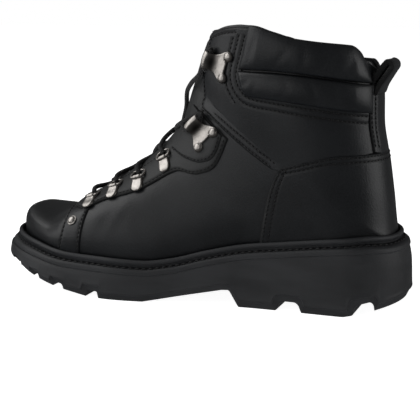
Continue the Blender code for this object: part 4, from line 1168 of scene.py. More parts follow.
class Wire:
    """A shader socket in Python sums: an operator adds a Math node, and node() adds any other node."""

    def __init__(self, tree, socket=None):
        self.tree = tree
        self.socket = socket

    def node(self, kind, sockets=None, out=0, **settings):
        """Adds a node: its settings first, then values or links for its sockets."""
        made = self.tree.nodes.new(kind)
        for key, value in settings.items():
            setattr(made, key, value)
        for key, value in (sockets or {}).items():
            if isinstance(value, Wire):
                self.tree.links.new(value.socket, made.inputs[key])
            else:
                made.inputs[key].default_value = value
        return Wire(self.tree, made.outputs[out])

    def math(self, operation, first, second=0.0):
        """A Math node on values or links."""
        return self.node("ShaderNodeMath", {0: first, 1: second}, operation=operation)

    def __add__(self, other):
        return self.math("ADD", self, other)

    __radd__ = __add__

    def __mul__(self, other):
        return self.math("MULTIPLY", self, other)

    __rmul__ = __mul__

    def __sub__(self, other):
        return self.math("SUBTRACT", self, other)

    def __rsub__(self, other):
        return self.math("SUBTRACT", other, self)

    def smooth(self, low, high):
        """Share from 0 to 1 as the value goes from low to high."""
        return self.node("ShaderNodeMapRange", {"Value": self, "From Min": low, "From Max": high},
                         interpolation_type="SMOOTHSTEP")

    def mixed(self, first, second):
        """Colour from the first to the second by this share."""
        return self.node("ShaderNodeMix", {"Factor": self, 6: first, 7: second}, 2, data_type="RGBA")


class Finish:
    """A Principled material: texture helpers on Object coordinates and the sockets they feed."""

    def __init__(self, name, constants):
        self.mat = bpy.data.materials.new(name)
        self.mat.use_nodes = True
        self.shader = self.mat.node_tree.nodes["Principled BSDF"]
        self.wire = Wire(self.mat.node_tree)
        self.spot = self.wire.node("ShaderNodeTexCoord", out=3)
        for key, value in constants.items():
            self.shader.inputs[key].default_value = value

    def noise(self, size, detail=3.0, stretch=(1.0, 1.0, 1.0)):
        """Cloudy noise with blotches about a size across, in metres."""
        spot = self.wire.node("ShaderNodeMapping", {"Vector": self.spot, "Scale": stretch})
        return self.wire.node("ShaderNodeTexNoise", {"Vector": spot, "Scale": 1.0 / size, "Detail": detail})

    def pebbles(self, size):
        """Grain cells about a size across: 0 in the middle of each and up towards its edge."""
        return self.wire.node("ShaderNodeTexVoronoi", {"Vector": self.spot, "Scale": 1.0 / size})

    def axes(self):
        """The three coordinates of the surface, in metres."""
        return [self.wire.node("ShaderNodeSeparateXYZ", {0: self.spot}, axis) for axis in range(3)]

    def value(self, label):
        """A named value that the mesh carries at its points."""
        return self.wire.node("ShaderNodeAttribute", out=2, attribute_name=label)

    def feed(self, **sockets):
        """Links what varies over the surface to the shader."""
        for key, wire in sockets.items():
            self.mat.node_tree.links.new(wire.socket, self.shader.inputs[key.replace("_", " ")])
        return self.mat

    def bump(self, height, depth):
        """Normal from a height whose unit is a depth in metres."""
        return self.wire.node("ShaderNodeBump", {"Height": height, "Strength": 1.0, "Distance": depth})


def rgba(colour, share=1.0):
    """A colour made lighter or darker by a share, opaque."""
    return (*(c * share for c in colour), 1.0)


def leather_finish(name, look):
    """Waxed leather: pebbled grain, cloudy shade and shine, dull in the seams, and darkened there and at the
    rolls' rims by painted shade.
    """
    finish = Finish(name, {"Specular IOR Level": look.shine, "Coat Weight": look.wax, "Coat Roughness": 0.3})
    cells = finish.pebbles(look.grain)
    pores = finish.noise(look.grain * PORES)
    cloud = finish.noise(CLOUD, 4.0)
    fold = finish.noise(FOLD, 2.0, (1.0, 1.0, 0.45))
    seam = finish.value("tone")
    shade = (cloud * 0.7 + cells * 0.3).smooth(0.25, 0.75)
    colour = shade.mixed(rgba(look.colour, 0.72), rgba(look.colour, 1.25))
    # Painted shade: seams, stitch troughs and roll rims are mixed toward three tenths of the colour
    colour = seam.mixed(colour, rgba(look.colour, 0.3))
    rough = look.roughness + (cloud - 0.5) * 0.16 + (pores - 0.5) * 0.08 + seam * 0.25
    height = cells * 0.5 + pores * 0.35 + fold * 1.2
    return finish.feed(Base_Color=colour, Roughness=rough, Normal=finish.bump(height, look.grain_depth))


def rubber_finish(name, look, share=1.0):
    """Moulded rubber: fine stipple and faint flow marks."""
    finish = Finish(name, {"Specular IOR Level": look.shine})
    stipple = finish.noise(STIPPLE, 4.0)
    flow = finish.noise(FLOW, 3.0, (0.4, 1.0, 1.6))
    rough = look.roughness + (flow - 0.5) * 0.2 + (stipple - 0.5) * 0.1
    colour = flow.smooth(0.3, 0.75).mixed(rgba(look.colour, 0.8 * share), rgba(look.colour, 1.25 * share))
    relief = finish.bump(stipple + flow, look.grain_depth)
    return finish.feed(Base_Color=colour, Roughness=rough, Normal=relief)


def metal_finish(name, look):
    """Plated steel, tumbled: cloudy tarnish, brushed hair lines, small dents, and a painted dark reflection
    on the hooks' necks.
    """
    finish = Finish(name, {"Metallic": 1.0})
    cloud = finish.noise(TARNISH, 4.0)
    hair = finish.noise(HAIR, 3.0, (0.2, 1.0, 1.0))
    rough = look.roughness + (cloud - 0.5) * 0.22 + (hair - 0.5) * 0.12
    colour = cloud.smooth(0.3, 0.7).mixed(rgba(look.colour, 0.72), rgba(look.colour, 1.08))
    # Painted dark reflection: where the mesh's shade value is high, mixed nearly to black
    colour = finish.value("tone").mixed(colour, rgba(look.colour, 0.08))
    relief = finish.bump(cloud + hair, look.grain_depth)
    return finish.feed(Base_Color=colour, Roughness=rough, Normal=relief)


def cloth_finish(name, look):
    """Knitted lining: crossing yarns with loft noise."""
    finish = Finish(name, {"Specular IOR Level": 0.2, "Sheen Weight": 0.15})
    x, y, z = finish.axes()
    warp = finish.wire.math("SINE", (x + z) * (TURN / look.yarn))
    weft = finish.wire.math("SINE", (y + z * 0.6) * (TURN / look.yarn))
    loft = finish.noise(look.yarn * 0.6)
    height = warp * weft * 0.5 + loft * 0.6
    colour = (height * 0.5 + 0.5).smooth(0.2, 1.0).mixed(rgba(look.colour, 0.5), rgba(look.colour, 1.4))
    relief = finish.bump(height, look.yarn * 0.4)
    return finish.feed(Base_Color=colour, Roughness=0.9 - loft * 0.1, Normal=relief)


def cord_finish(name, look):
    """Braided lace: slanted strands that follow the length of the cord."""
    finish = Finish(name, {"Specular IOR Level": 0.25, "Sheen Weight": 0.1})
    run = finish.value("run")
    x, y, z = finish.axes()
    slant = (x - y + z) * (TURN / look.yarn / SLANT)
    strand = finish.wire.math("SINE", run * (TURN / (look.yarn / MM)))
    cross = finish.wire.math("SINE", slant)
    height = strand * 0.55 + cross * 0.25 + finish.noise(look.yarn * 0.4) * 0.4
    colour = height.smooth(-0.6, 0.9).mixed(rgba(look.colour, 0.45), rgba(look.colour, 1.5))
    relief = finish.bump(height, look.yarn * 0.35)
    return finish.feed(Base_Color=colour, Roughness=0.8 - height * 0.08, Normal=relief)


def thread_finish(name, look):
    """Waxed sewing thread with a fine twist."""
    finish = Finish(name, {"Specular IOR Level": 0.4})
    twist = finish.noise(TWIST, 2.0)
    colour = twist.smooth(0.3, 0.7).mixed(rgba(look.colour, 0.6), rgba(look.colour, 1.5))
    relief = finish.bump(twist, TWIST_DEPTH)
    return finish.feed(Base_Color=colour, Roughness=0.45 + twist * 0.25, Normal=relief)


def floor_finish(colour):
    """Pale studio floor with the faintest mottle."""
    finish = Finish("studio_floor", {"Specular IOR Level": 0.0, "Emission Color": (1.0, 1.0, 1.0, 1.0),
                                     "Emission Strength": FLOOR_GLOW})
    mottle = finish.noise(MOTTLE, 2.0)
    shade = mottle.mixed(rgba(colour, 0.99), rgba(colour))
    return finish.feed(Base_Color=shade, Roughness=0.9 + mottle * 0.05)


def colour_of(name, description, default):
    """A colour that a user may change."""
    return FloatVectorProperty(name=name, description=description, subtype="COLOR", size=3, min=0.0, max=1.0,
                               default=default)


def share_of(name, description, default):
    """A share from 0 to 1 that a user may change."""
    return FloatProperty(name=name, description=description, subtype="FACTOR", min=0.0, max=1.0,
                         default=default)


def length_of(name, description, default):
    """A length in metres that a user may change."""
    return FloatProperty(name=name, description=description, unit="LENGTH", default=default)


def power_of(name, description, default):
    """A lamp's power that a user may change."""
    return FloatProperty(name=name, description=description, unit="POWER", default=default)


def spot_of(name, description, default):
    """A place in metres that a user may change."""
    return FloatVectorProperty(name=name, description=description, subtype="TRANSLATION", unit="LENGTH",
                               size=3, default=default)


class LeatherLook(bpy.types.PropertyGroup):
    """Smooth leather of the upper and its panels."""
    colour: colour_of("Colour", "Base colour before shade and seams", (0.0054, 0.0061, 0.0072))
    roughness: share_of("Roughness", "Middle of the roughness", 0.4)
    shine: share_of("Shine", "Strength of the reflections", 0.36)
    wax: share_of("Wax", "Weight of the clear wax coat", 0.06)
    grain: length_of("Grain", "Width of one pebble of the grain", 0.0012)
    grain_depth: length_of("Grain depth", "Depth of the grain's relief", 0.00012)


class FacingLook(bpy.types.PropertyGroup):
    """Duller leather of the lacing strips, hook facings and tongue."""
    colour: colour_of("Colour", "Base colour before shade and seams", (0.0135, 0.0142, 0.0146))
    roughness: share_of("Roughness", "Middle of the roughness", 0.52)
    shine: share_of("Shine", "Strength of the reflections", 0.36)
    wax: share_of("Wax", "Weight of the clear wax coat", 0.0)
    grain: length_of("Grain", "Width of one pebble of the grain", 0.0012)
    grain_depth: length_of("Grain depth", "Depth of the grain's relief", 0.00012)


class RubberLook(bpy.types.PropertyGroup):
    """Moulded rubber of the sole and the welt."""
    colour: colour_of("Colour", "Base colour before the flow marks", (0.0162, 0.017, 0.0188))
    roughness: share_of("Roughness", "Middle of the roughness", 0.55)
    shine: share_of("Shine", "Strength of the reflections", 0.36)
    grain_depth: length_of("Stipple depth", "Depth of the stipple's relief", 0.00006)


class NickelLook(bpy.types.PropertyGroup):
    """Plated metal of the rings, clips, hooks and rivets."""
    colour: colour_of("Colour", "Base colour before the tarnish", (0.45, 0.425, 0.4))
    roughness: share_of("Roughness", "Middle of the roughness", 0.36)
    grain_depth: length_of("Dent depth", "Depth of the small dents", 0.00008)


class LiningLook(bpy.types.PropertyGroup):
    """Cloth of the lining and the footbed."""
    colour: colour_of("Colour", "Colour of the yarn", (0.012, 0.012, 0.0125))
    yarn: length_of("Yarn", "Width of one yarn", 0.0009)


class CordLook(bpy.types.PropertyGroup):
    """Braid of the lace."""
    colour: colour_of("Colour", "Colour of the strands", (0.009, 0.009, 0.0095))
    yarn: length_of("Strand", "Width of one strand", 0.0011)


class ThreadLook(bpy.types.PropertyGroup):
    """Sewing thread."""
    colour: colour_of("Colour", "Colour of the thread", (0.0035, 0.0035, 0.0038))


class BootSizes(bpy.types.PropertyGroup):
    """Sizes of the sewing, the cord and the metal."""
    stitch_pitch: length_of("Stitch pitch", "From one stitch to the next", 0.0029)
    stitch_length: length_of("Stitch length", "Length of thread that shows", 0.0023)
    thread: length_of("Thread", "Thickness of the sewing thread", 0.0008)
    welt_pitch: length_of("Welt stitch pitch", "Pitch of the row in the welt", 0.0046)
    lace: length_of("Lace", "Radius of the lace", 0.0016)
    ring_wire: length_of("Ring wire", "Radius of the wire of the rings", 0.00095)


class StageLook(bpy.types.PropertyGroup):
    """Floor, lights and camera."""
    floor: colour_of("Floor", "Colour of the floor", (0.88, 0.88, 0.88))
    key: power_of("Key light", "Power of the big light ahead", 2.2)
    toe: power_of("Toe light", "Power of the low light at the toe", 4.2)
    front: power_of("Front light", "Power of the low light ahead", 1.6)
    heel: power_of("Heel light", "Power of the light at the heel", 4.0)
    top: power_of("Top light", "Power of the light overhead", 6.5)
    fill: share_of("Fill", "Strength of the light from all round", 0.09)
    lens: FloatProperty(name="Lens", description="Focal length", unit="CAMERA", default=94.54)
    eye: spot_of("Eye", "Where the camera stands", (0.2694, -0.70943, 0.203))
    aim: spot_of("Aim", "Point the camera looks at", (0.007, 0.00007, 0.0556))


class BootSettings(bpy.types.PropertyGroup):
    """All that a user would change."""
    sizes: PointerProperty(name="Sizes", description="Sewing, cord and metal", type=BootSizes)
    leather: PointerProperty(name="Leather", description="Smooth leather of the upper", type=LeatherLook)
    facing: PointerProperty(name="Facing", description="Leather of the lacing strips", type=FacingLook)
    rubber: PointerProperty(name="Rubber", description="Sole and welt", type=RubberLook)
    nickel: PointerProperty(name="Nickel", description="Rings, clips, hooks and rivets", type=NickelLook)
    lining: PointerProperty(name="Lining", description="Cloth inside", type=LiningLook)
    cord: PointerProperty(name="Lace", description="Braided lace", type=CordLook)
    thread: PointerProperty(name="Thread", description="Sewing thread", type=ThreadLook)
    stage: PointerProperty(name="Stage", description="Floor, lights and camera", type=StageLook)


def settings():
    """The boot's settings in the present scene."""
    return bpy.context.scene.work_boot


def finish_of(kind):
    """The material of a kind of surface, made at its first use."""
    name = f"boot_{kind}"
    if name in bpy.data.materials:
        return bpy.data.materials[name]
    boot = settings()
    makers = {
        "leather": lambda: leather_finish(name, boot.leather),
        "facing": lambda: leather_finish(name, boot.facing),
        "rubber": lambda: rubber_finish(name, boot.rubber),
        "welt_rubber": lambda: rubber_finish(name, boot.rubber, WELT_TINT),
        "nickel": lambda: metal_finish(name, boot.nickel),
        "lining": lambda: cloth_finish(name, boot.lining),
        "lace_cord": lambda: cord_finish(name, boot.cord),
        "thread": lambda: thread_finish(name, boot.thread),
    }
    return makers[kind]()


class BOOT_OT_sole(bpy.types.Operator):
    """Moulded sole with its lugs, the welt's bead round it and the stitches in the groove between them"""
    bl_idname = "work_boot.sole"
    bl_label = "Sole and welt"

    def execute(self, context):
        rings = sole_rings()
        sole = Shells()
        sole.grid(np.array([ring_loop(*ring) for ring in rings]), False, True)
        x, half, centre, z = rings[0]
        tread = across_grid(x, half, centre, z, TREAD_COLUMNS)
        for row in TREAD_CHANNELS:
            ends = np.minimum(row.rear - tread[..., 0], tread[..., 0] - row.front)
            inside = np.minimum(row.half - np.abs(tread[..., 1]), ends)
            tread[..., 2] += row.depth * np.clip(inside / CHANNEL_EASE, 0.0, 1.0)
        sole.grid(tread)
        sole.grid(across_grid(*rings[-1], 3))
        sole.piece("outsole_moulded", finish_of("rubber"), "rubber", ["outsole"], sharp=32.0)

        number = np.arange(len(WELT_FORM))
        at = fine(number, WELT_TIMES)
        out, up = (through(number, values, at) for values in zip(*WELT_FORM))
        around = cosine(WELT_STATIONS)
        welt = Shells()
        welt.grid(np.array([loop_around(around, o, u) for o, u in zip(out, up)]), True, True)
        welt.piece("welt_bead", finish_of("welt_rubber"), "welt_rubber", ["welt"])

        pitch = settings().sizes.welt_pitch / MM
        path = loop_around(around, WELT_ROW_OUT, WELT_ROW_UP)
        upward = np.tile([0.0, 0.0, 1.0], (len(path), 1))
        rows = Shells()
        rows.stitches(path, upward, pitch, pitch * WELT_STITCH, WELT_THREAD)
        rows.piece("stitches_welt", finish_of("thread"), "lace_cord")
        return {"FINISHED"}


class BOOT_OT_upper(bpy.types.Operator):
    """Skin of the upper with its creases, the cloth lining inside it and the footbed"""
    bl_idname = "work_boot.upper"
    bl_label = "Upper, lining and footbed"

    def execute(self, context):
        skin, lining = Shells(), Shells()
        for side, _ in SIDES:
            spine, around = upper_field(side)
            skin.grid(raised(spine, around, side, upper_relief(spine, around, side))[0])
            spine, around = spine[::2, ::2], around[::2, ::2]
            lining.grid(raised(spine, around, side, np.full(spine.shape, -LINING_DEPTH))[0])
        skin.piece("upper_skin", finish_of("leather"), "leather", ["upper"], sharp=50.0, wall=SKIN_WALL)
        lining.piece("upper_lining", finish_of("lining"), "lining", sharp=50.0, wall=WALL - LINING_DEPTH)

        along = cosine(BED_STATIONS)
        out = -(WALL + 3 * GAP)
        bed = Shells()
        thick = GAP + INSOLE_SKIN
        rise = ((GAP, 0.0), (thick - BED_BEVEL, 0.0), (thick, -BED_BEVEL))
        bed.grid(np.array([loop_around(along, out + tuck, up) for up, tuck in rise]), False, True)
        x, half, centre = outline(along, out, out, out)
        bed.grid(across_grid(x, half, centre, feather_z(x) + GAP, 3))
        inner = out - BED_BEVEL
        x, half, centre = outline(along, inner, inner, inner)
        top = across_grid(x, half, centre, feather_z(x) + thick, BED_COLUMNS)
        share = np.linspace(-1.0, 1.0, BED_COLUMNS) ** 2
        top[..., 2] -= BED_DISH * (1 - share) * rounded(along * (1 - along) * BED_ENDS, 2.0)[:, None]
        bed.grid(top)
        bed.piece("footbed", finish_of("lining"), "lining", ["insole"])
        return {"FINISHED"}


class BOOT_OT_panels(bpy.types.Operator):
    """Leather panels sewn on the upper: straps, lacing strips, facings, shaft, counter, stay and loop"""
    bl_idname = "work_boot.panels"
    bl_label = "Sewn panels"

    def execute(self, context):
        sewing = Sewing(settings().sizes)
        leather, facing = finish_of("leather"), finish_of("facing")
        for side, name in SIDES:
            def sewn(field, rows, cut=("low", "front", "back"), height=PANEL_FOOT):
                """One panel over a field of the upper at a height over it."""
                spine, around = field
                base, out = raised(spine, around, side, np.full(spine.shape, height))
                return sewing.panel(base, out, PANEL, cut, rows)

            strap = sewn(strap_field(*STRAP_GRID), STRAP_ROWS, ("front", "back", "high"))
            strap.piece(f"strap_{name}", leather, "leather", [f"toe_strap_{name}"])
            strip = sewn(between(EYESTAY_LOW, EYESTAY_HIGH, *STRIP_GRID), STRIP_ROWS, height=STRIP_FOOT)
            strip.piece(f"lacing_strip_{name}", facing, "facing", [f"eyestay_{name}"])
            tab = sewn(between(HOOK_PANEL_LOW, HOOK_PANEL_HIGH, *FACING_GRID), FACING_ROWS,
                       height=STRIP_FOOT + PANEL)
            tab.piece(f"hook_facing_{name}", facing, "facing", [f"hook_panel_{name}"])
            shaft = sewn(shaft_field(side, SHAFT_ACROSS), SHAFT_ROWS, ("low", "front"))
            shaft.piece(f"shaft_{name}", leather, "leather", [f"shaft_panel_{name}"])

        spine, around = counter_field(*COUNTER_GRID)
        base, out = self.both_sides(spine, around, 0)
        panel = sewing.panel(base, out, COUNTER_PANEL, ("front", "back", "high"), COUNTER_ROWS)
        panel.piece("counter", leather, "leather", ["heel_counter"])

        levels, columns = STAY_GRID
        z = np.linspace(STAY_LOW - SHAFT_TUCK, STAY_HIGH, levels)
        spine = to_spine(back_x(z), z)[0]
        _, _, _, half, _, _, girth = section(spine)
        limit = np.arccos((column(STAY, "z", "half", z) / half) ** (girth.base_power / 2)) * 2 / np.pi
        around = -(limit[:, None] + (1 - limit[:, None]) * np.linspace(0.0, 1.0, columns)[None, :])
        base, out = self.both_sides(np.broadcast_to(spine[:, None], around.shape), around, 1)
        panel = sewing.panel(base, out, STAY_PANEL, ("low", "high", "front"), STAY_ROWS)
        panel.piece("stay", leather, "leather", ["back_stay"])
        self.pull_loop(sewing, leather)
        sewing.threads.piece("stitches_panels", finish_of("thread"), "lace_cord")
        return {"FINISHED"}

    def both_sides(self, spine, around, axis):
        """Points and normals over both halves of a piece that meets itself at the back seam."""
        halves = [raised(spine, around, side, np.full(around.shape, PANEL_FOOT)) for side, _ in SIDES]
        base, out = (both_halves([half[k] for half in halves], axis, True) for k in range(2))
        return base, unit(out)

    def pull_loop(self, sewing, leather):
        """Strap folded back on itself at the top of the back seam: a rounded bar carried along its path."""
        path = smooth_path(np.array(LOOP_PATH), LOOP_TIMES)
        line = path * np.array([1.0, 0.0, 0.0]) + path[:, 1:2] * np.array([0.0, 0.0, 1.0])
        ahead = unit(np.gradient(line, axis=0))
        out = np.cross(ahead, [0.0, 1.0, 0.0])
        across = np.sin(np.linspace(-np.pi / 2, np.pi / 2, LOOP_COLUMNS))
        base = line[:, None] + np.array([-LOOP_BEND, 0.0, 0.0]) * across[None, :, None] ** 2
        base[..., 1] = path[:, 2:] * across
        grid_out = np.broadcast_to(out[:, None], base.shape)
        panel = sewing.panel(base, grid_out, LOOP_SKIN, ("low", "high", "front", "back"), LOOP_ROWS)
        panel.piece("pull_strap", leather, "leather", ["pull_loop"])


class BOOT_OT_collar(bpy.types.Operator):
    """Padded rolls round the ankle, the binding of the collar and throat, and the padded tongue"""
    bl_idname = "work_boot.collar"
    bl_label = "Collar and tongue"

    def execute(self, context):
        for side, name in SIDES:
            for level, table, wrinkles in (("upper", PAD_UPPER, WRINKLES_UPPER),
                                           ("lower", PAD_LOWER, WRINKLES_LOWER)):
                self.pad(f"roll_{level}_{name}", f"collar_pad_{level}_{name}", table, wrinkles, side)
        rims, throats = [], []
        for side, _ in SIDES:
            spine, around = upper_field(side)
            rims.append(raised(spine[-1], around[-1], side, np.full(spine.shape[1], -BINDING.depth))[0])
            rows = spine[:, -1] > THROAT_END
            depth = np.full(rows.sum(), -PIPING.depth)
            throats.append(raised(spine[rows, -1], around[rows, -1], side, depth)[0])
        binding = Shells()
        rim = np.concatenate([rims[0][::-1], rims[1][1:]])
        for edge, cord in ((rim, BINDING), (throats[0], PIPING), (throats[1], PIPING)):
            even = resampled(edge, np.linspace(0.0, run_of(edge)[-1], cord.points))
            binding.bar(even, cord.radius, cord.sides)
        binding.piece("binding", finish_of("leather"), "leather")
        self.tongue()
        return {"FINISHED"}

    def pad(self, name, node, table, wrinkles, side):
        """Pad: half-ellipse across, rounded ends, less soft grooves where the leather wrinkles."""
        columns, rows = PAD_GRID
        u = np.linspace(0.0, 1.0, columns + 1)[:, None]
        v = np.linspace(0.0, 1.0, rows + 1)[None, :]
        spine, around = patch(table, columns, rows)
        if table is PAD_UPPER:
            top = around[:, -1:]
            rim = column(COLLAR, "around", "spine", top) - inner_dip(top, side) - ROLL_TOP
            spine = spine + (rim - spine[:, -1:]) * v ** 2
        base, out = raised(spine, around, side, np.full(spine.shape, PAD_FOOT))
        reach = borders(base)
        across = np.sqrt(np.clip(4 * v * (1 - v), 0.0, 1.0)) ** PAD_ACROSS
        along = np.sqrt(np.clip(np.minimum(u, 1 - u) * PAD_ENDS, 0.0, 1.0)) ** PAD_ALONG
        full = across * along
        rise = PAD_RIM + PUFF * full
        for fold in wrinkles:
            way = np.radians(fold.lean)
            dx, dy = reach["front"] - fold.along, reach["low"] - fold.across
            ahead = dx * np.cos(way) + dy * np.sin(way)
            aside = dy * np.cos(way) - dx * np.sin(way)
            rise = rise + fold.rise * bell(ahead, fold.length) * bell(aside, fold.width) * full
        shells = Shells()
        # Painted shade at the roll's rim, where it meets the upper
        shells.sheet(base + out * rise[..., None], base, bell(full, PAD_SHADE))
        obj = shells.piece(name, finish_of("leather"), "leather", [node], sharp=60.0)

    def tongue(self):
        """Tongue: a sheet along the throat whose padding thins to its sewn edge."""
        length, columns = TONGUE_GRID
        spine = np.linspace(TONGUE[0].spine, TONGUE[-1].spine + TONGUE_PAST, length)
        reach = column(TONGUE, "spine", "half", spine)
        _, _, _, half, _, _, girth = section(spine)
        limit = np.arccos((reach / half) ** (girth.top_power / 2)) * 2 / np.pi
        around = 1.0 - (1.0 - limit[:, None]) * np.linspace(0.0, 1.0, columns)
        lift = column(TONGUE_RISE, "spine", "rise", spine)[:, None] * np.ones(around.shape)
        field = np.broadcast_to(spine[:, None], around.shape), around
        halves = [raised(*field, side, lift - TONGUE_SKIN) for side, _ in SIDES]
        base, out = (both_halves([half[k] for half in halves], 1) for k in range(2))
        sewing = Sewing(settings().sizes)
        edge = borders(base)
        near = np.minimum.reduce([edge["back"], edge["low"], edge["high"]])
        crown = (TONGUE_SKIN - TONGUE_EDGE) * rounded(near / TONGUE_PAD, 2.0)
        crown = crown - TROUGH_DEPTH * bell(near - TONGUE_TROUGH, TROUGH_WIDTH)
        panel = sewing.panel(base, unit(out), TONGUE_EDGE, ("back", "low", "high"), TONGUE_ROWS, crown)
        obj = panel.piece("tongue_padded", finish_of("facing"), "facing", ["tongue"])
        sewing.threads.piece("stitches_tongue", finish_of("thread"), "lace_cord")


class BOOT_OT_fittings(bpy.types.Operator):
    """Nickel fittings: lace rings in folded clips, riveted lace hooks and the rivets of the toe straps"""
    bl_idname = "work_boot.fittings"
    bl_label = "Rings, hooks and rivets"

    def execute(self, context):
        for side, name in SIDES:
            for number, row in enumerate(RINGS, 1):
                self.clip(row, side, f"{number}_{name}")
                self.ring(row, side, f"{number}_{name}")
            for number, row in enumerate(HOOKS, 1):
                self.hook(row, side, f"{number}_{name}")
            spine, around = place(STRAP_RIVET.x, STRAP_RIVET.z)
            origin, along, toward, out = frame_at(spine, around, side, PANEL + HEAD_LIFT)
            head = Shells()
            head.turned(origin + [0.0, 0.0, GAP], (along, toward, out), HEAD_PROFILE, HEAD_SIDES)
            head.piece(f"rivet_{name}", finish_of("nickel"), "nickel", [f"strap_rivet_{name}"])
        return {"FINISHED"}

    def clip(self, row, side, label):
        """Clip: a domed tab with a rounded foot, whose top rolls round the ring's bar."""
        bar, along, _, _ = ring_frame(row, side)
        origin, _, toward, out = frame_at(row.spine, row.around, side, PANEL + CLIP_FOOT + GAP)
        levels, columns = CLIP_GRID
        t = cosine(levels, -CLIP_LENGTH / 2 - CLIP_LOW, CLIP_LENGTH / 2 + CLIP_HIGH)
        low = rounded((t - t[0]) / CLIP_ROUND, 2.0)
        half = CLIP_HALF * low * (1 - CLIP_TAPER * np.clip(t / CLIP_LENGTH, 0.0, 1.0))
        across = np.sin(np.linspace(-np.pi / 2, np.pi / 2, columns))
        flat = origin + toward * t[:, None, None] + along * (half[:, None] * across)[..., None]
        edge = np.minimum(rounded((1 - np.abs(across)) * CLIP_EDGE, 2.0)[None, :], low[:, None])
        swell = CLIP_SWELL * bell(t - t[-1], SWELL_WIDTH)[:, None] * (1 - across ** 4)[None, :]
        rise = CLIP_RIM + (CLIP_SKIN + CLIP_RIM) * edge + swell
        clip = Shells()
        clip.sheet(flat + out * rise[..., None], flat)
        roll = bar + along * np.linspace(-ROLL_HALF, ROLL_HALF, ROLL_POINTS)[:, None]
        clip.bar(roll, settings().sizes.ring_wire / MM + ROLL_SKIN, ROLL_SIDES)
        clip.piece(f"clip_{label}", finish_of("nickel"), "nickel", [f"ring_clip_{label}"])

    def ring(self, row, side, label):
        """Ring: wire carried round a D, squarish at its bar and rounder over the throat."""
        bar, along, tip, face = ring_frame(row, side)
        angle = np.linspace(0.0, 2 * np.pi, RING_POINTS, endpoint=False)
        power = np.where(np.sin(angle) < 0, RING_LOW, RING_HIGH)
        a = RING_HALF * np.sign(np.cos(angle)) * np.abs(np.cos(angle)) ** RING_SQUARE
        b = RING_REACH / 2 * (1 + np.sign(np.sin(angle)) * np.abs(np.sin(angle)) ** power)
        path = bar + along * a[:, None] + tip * b[:, None]
        ring = Shells()
        ring.bar(path, settings().sizes.ring_wire / MM, RING_SIDES, face, True)
        ring.piece(f"ring_{label}", finish_of("nickel"), "nickel", [f"lace_ring_{label}"])

    def hook(self, row, side, label):
        """Hook: a plate with two round lobes under rivet heads, a neck that arches up and a broad lip."""
        origin, along, toward, out = frame_at(row.spine, row.around, side, row.lift + GAP)
        levels, columns = HOOK_GRID
        end = HOOK_FORM[-1].toward
        share = np.sin(np.linspace(-np.pi / 2, np.pi / 2, columns))[None, :]
        lobe = np.clip(LOBE_RADIUS ** 2 - (HOOK_FOOT * np.abs(share) - LOBE_AT) ** 2, 0.0, None)
        foot = LOBE_LOW - LOBE_REACH * np.sqrt(lobe)
        t = foot + (end - foot) * np.linspace(0.0, 1.0, levels)[:, None]
        half = column(HOOK_FORM, "toward", "half", t)
        rise = column(HOOK_FORM, "toward", "rise", t)
        a = half * share
        edge = np.minimum(half - np.abs(a), np.minimum(t - foot, end - t))
        from_head = (np.abs(a) - LOBE_AT) ** 2 + (t - LOBE_LOW) ** 2
        dome = np.clip(1 - from_head / DOME_RADIUS ** 2, 0.0, 1.0)
        bow = LIP_BOW * a ** 2 * np.clip((t - LIP_FROM) / LIP_FROM, 0.0, 1.0)
        flat = origin + toward * t[..., None] + along * a[..., None] + out * (rise - bow)[..., None]
        skin = HOOK_RIM + (HOOK_SKIN - HOOK_RIM) * rounded(edge / HOOK_EDGE, 2.0) + HEAD_RISE * np.sqrt(dome)
        # Painted dark reflection on the arched neck, fading toward its sides
        neck = bell(t - NECK_AT, NECK_WIDTH) * (1 - NECK_SHADE * share ** 2)
        plate = Shells()
        plate.sheet(flat + out * skin[..., None], flat, neck)
        plate.piece(f"hook_{label}", finish_of("nickel"), "nickel", [f"lace_hook_{label}"], sharp=50.0)


class BOOT_OT_laces(bpy.types.Operator):
    """Braided lace: one cord from a top hook down through the rings, across, and up to the other top hook"""
    bl_idname = "work_boot.laces"
    bl_label = "Laces"

    def execute(self, context):
        near, far = cord_knots(LATERAL, False), cord_knots(MEDIAL, True)
        path = smooth_path(near[::-1] + [crest_point(LACE_BAR)] + far, LACE_TIMES)
        cord = Shells()
        cord.bar(path, settings().sizes.lace / MM, LACE_SIDES)
        cord.piece("lace", finish_of("lace_cord"), "lace_cord", ["laces"])
        return {"FINISHED"}


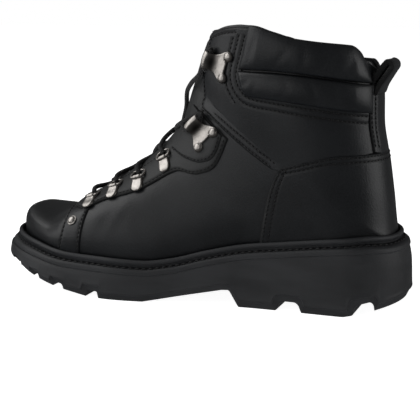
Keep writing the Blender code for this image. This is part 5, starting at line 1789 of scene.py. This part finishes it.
class BOOT_OT_stage(bpy.types.Operator):
    """Pale floor, soft studio lights and the camera"""
    bl_idname = "work_boot.stage"
    bl_label = "Stage"

    def execute(self, context):
        look = settings().stage
        mesh = bpy.data.meshes.new("floor")
        corners = [(x * FLOOR_HALF, y * FLOOR_HALF, 0.0) for x, y in ((-1, -1), (1, -1), (1, 1), (-1, 1))]
        mesh.from_pydata(corners, [], [(0, 1, 2, 3)])
        mesh.materials.append(floor_finish(look.floor))
        floor = bpy.data.objects.new("floor", mesh)
        context.scene.collection.objects.link(floor)
        floor.visible_glossy = False
        for lamp in LAMPS:
            self.light(f"light_{lamp.name}", lamp.at, LAMP_AIM, lamp.size, getattr(look, lamp.name))
        self.world(look)
        camera = bpy.data.cameras.new("camera")
        camera.lens = look.lens
        camera.sensor_width = SENSOR
        eye = bpy.data.objects.new("camera", camera)
        context.scene.collection.objects.link(eye)
        self.point(eye, look.eye, look.aim)
        context.scene.camera = eye
        context.scene.view_settings.view_transform = "Standard"
        return {"FINISHED"}

    def point(self, obj, place_at, aim):
        """Puts a lamp or camera at a place and turns it to its aim."""
        way = obj.location.copy()
        way[:] = np.subtract(aim, place_at)
        obj.location = place_at
        obj.rotation_euler = way.to_track_quat("-Z", "Y").to_euler()

    def light(self, name, place_at, aim, size, power):
        """A square lamp at a place, turned to its aim."""
        lamp = bpy.data.lights.new(name, "AREA")
        lamp.size = size
        lamp.energy = power
        obj = bpy.data.objects.new(name, lamp)
        bpy.context.scene.collection.objects.link(obj)
        self.point(obj, place_at, aim)

    def world(self, look):
        """White surroundings for the eye, and a dimmer fill for the light they give."""
        world = bpy.data.worlds.new("studio")
        world.use_nodes = True
        bpy.context.scene.world = world
        wire = Wire(world.node_tree)
        seen = wire.node("ShaderNodeLightPath")
        back = world.node_tree.nodes["Background"]
        back.inputs["Color"].default_value = (1.0, 1.0, 1.0, 1.0)
        strength = seen * (1.0 - look.fill) + look.fill
        world.node_tree.links.new(strength.socket, back.inputs["Strength"])


class BOOT_PT_panel(bpy.types.Panel):
    """Sidebar panel with the pieces in the order they are made"""
    bl_idname = "BOOT_PT_panel"
    bl_label = "Work Boot"
    bl_space_type = "VIEW_3D"
    bl_region_type = "UI"
    bl_category = "Work Boot"

    def draw(self, context):
        for operator in OPERATORS:
            self.layout.operator(operator.bl_idname)


OPERATORS = (BOOT_OT_stage, BOOT_OT_sole, BOOT_OT_upper, BOOT_OT_panels, BOOT_OT_collar, BOOT_OT_fittings,
             BOOT_OT_laces)
LOOKS = (LeatherLook, FacingLook, RubberLook, NickelLook, LiningLook, CordLook, ThreadLook)
CLASSES = (*LOOKS, BootSizes, StageLook, BootSettings, *OPERATORS, BOOT_PT_panel)


def register():
    for cls in CLASSES:
        bpy.utils.register_class(cls)
    bpy.types.Scene.work_boot = PointerProperty(type=BootSettings)


def unregister():
    del bpy.types.Scene.work_boot
    for cls in reversed(CLASSES):
        bpy.utils.unregister_class(cls)


def main():
    """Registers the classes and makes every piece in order."""
    register()
    for operator in OPERATORS:
        group, action = operator.bl_idname.split(".")
        getattr(getattr(bpy.ops, group), action)()


if __name__ == "__main__":
    main()
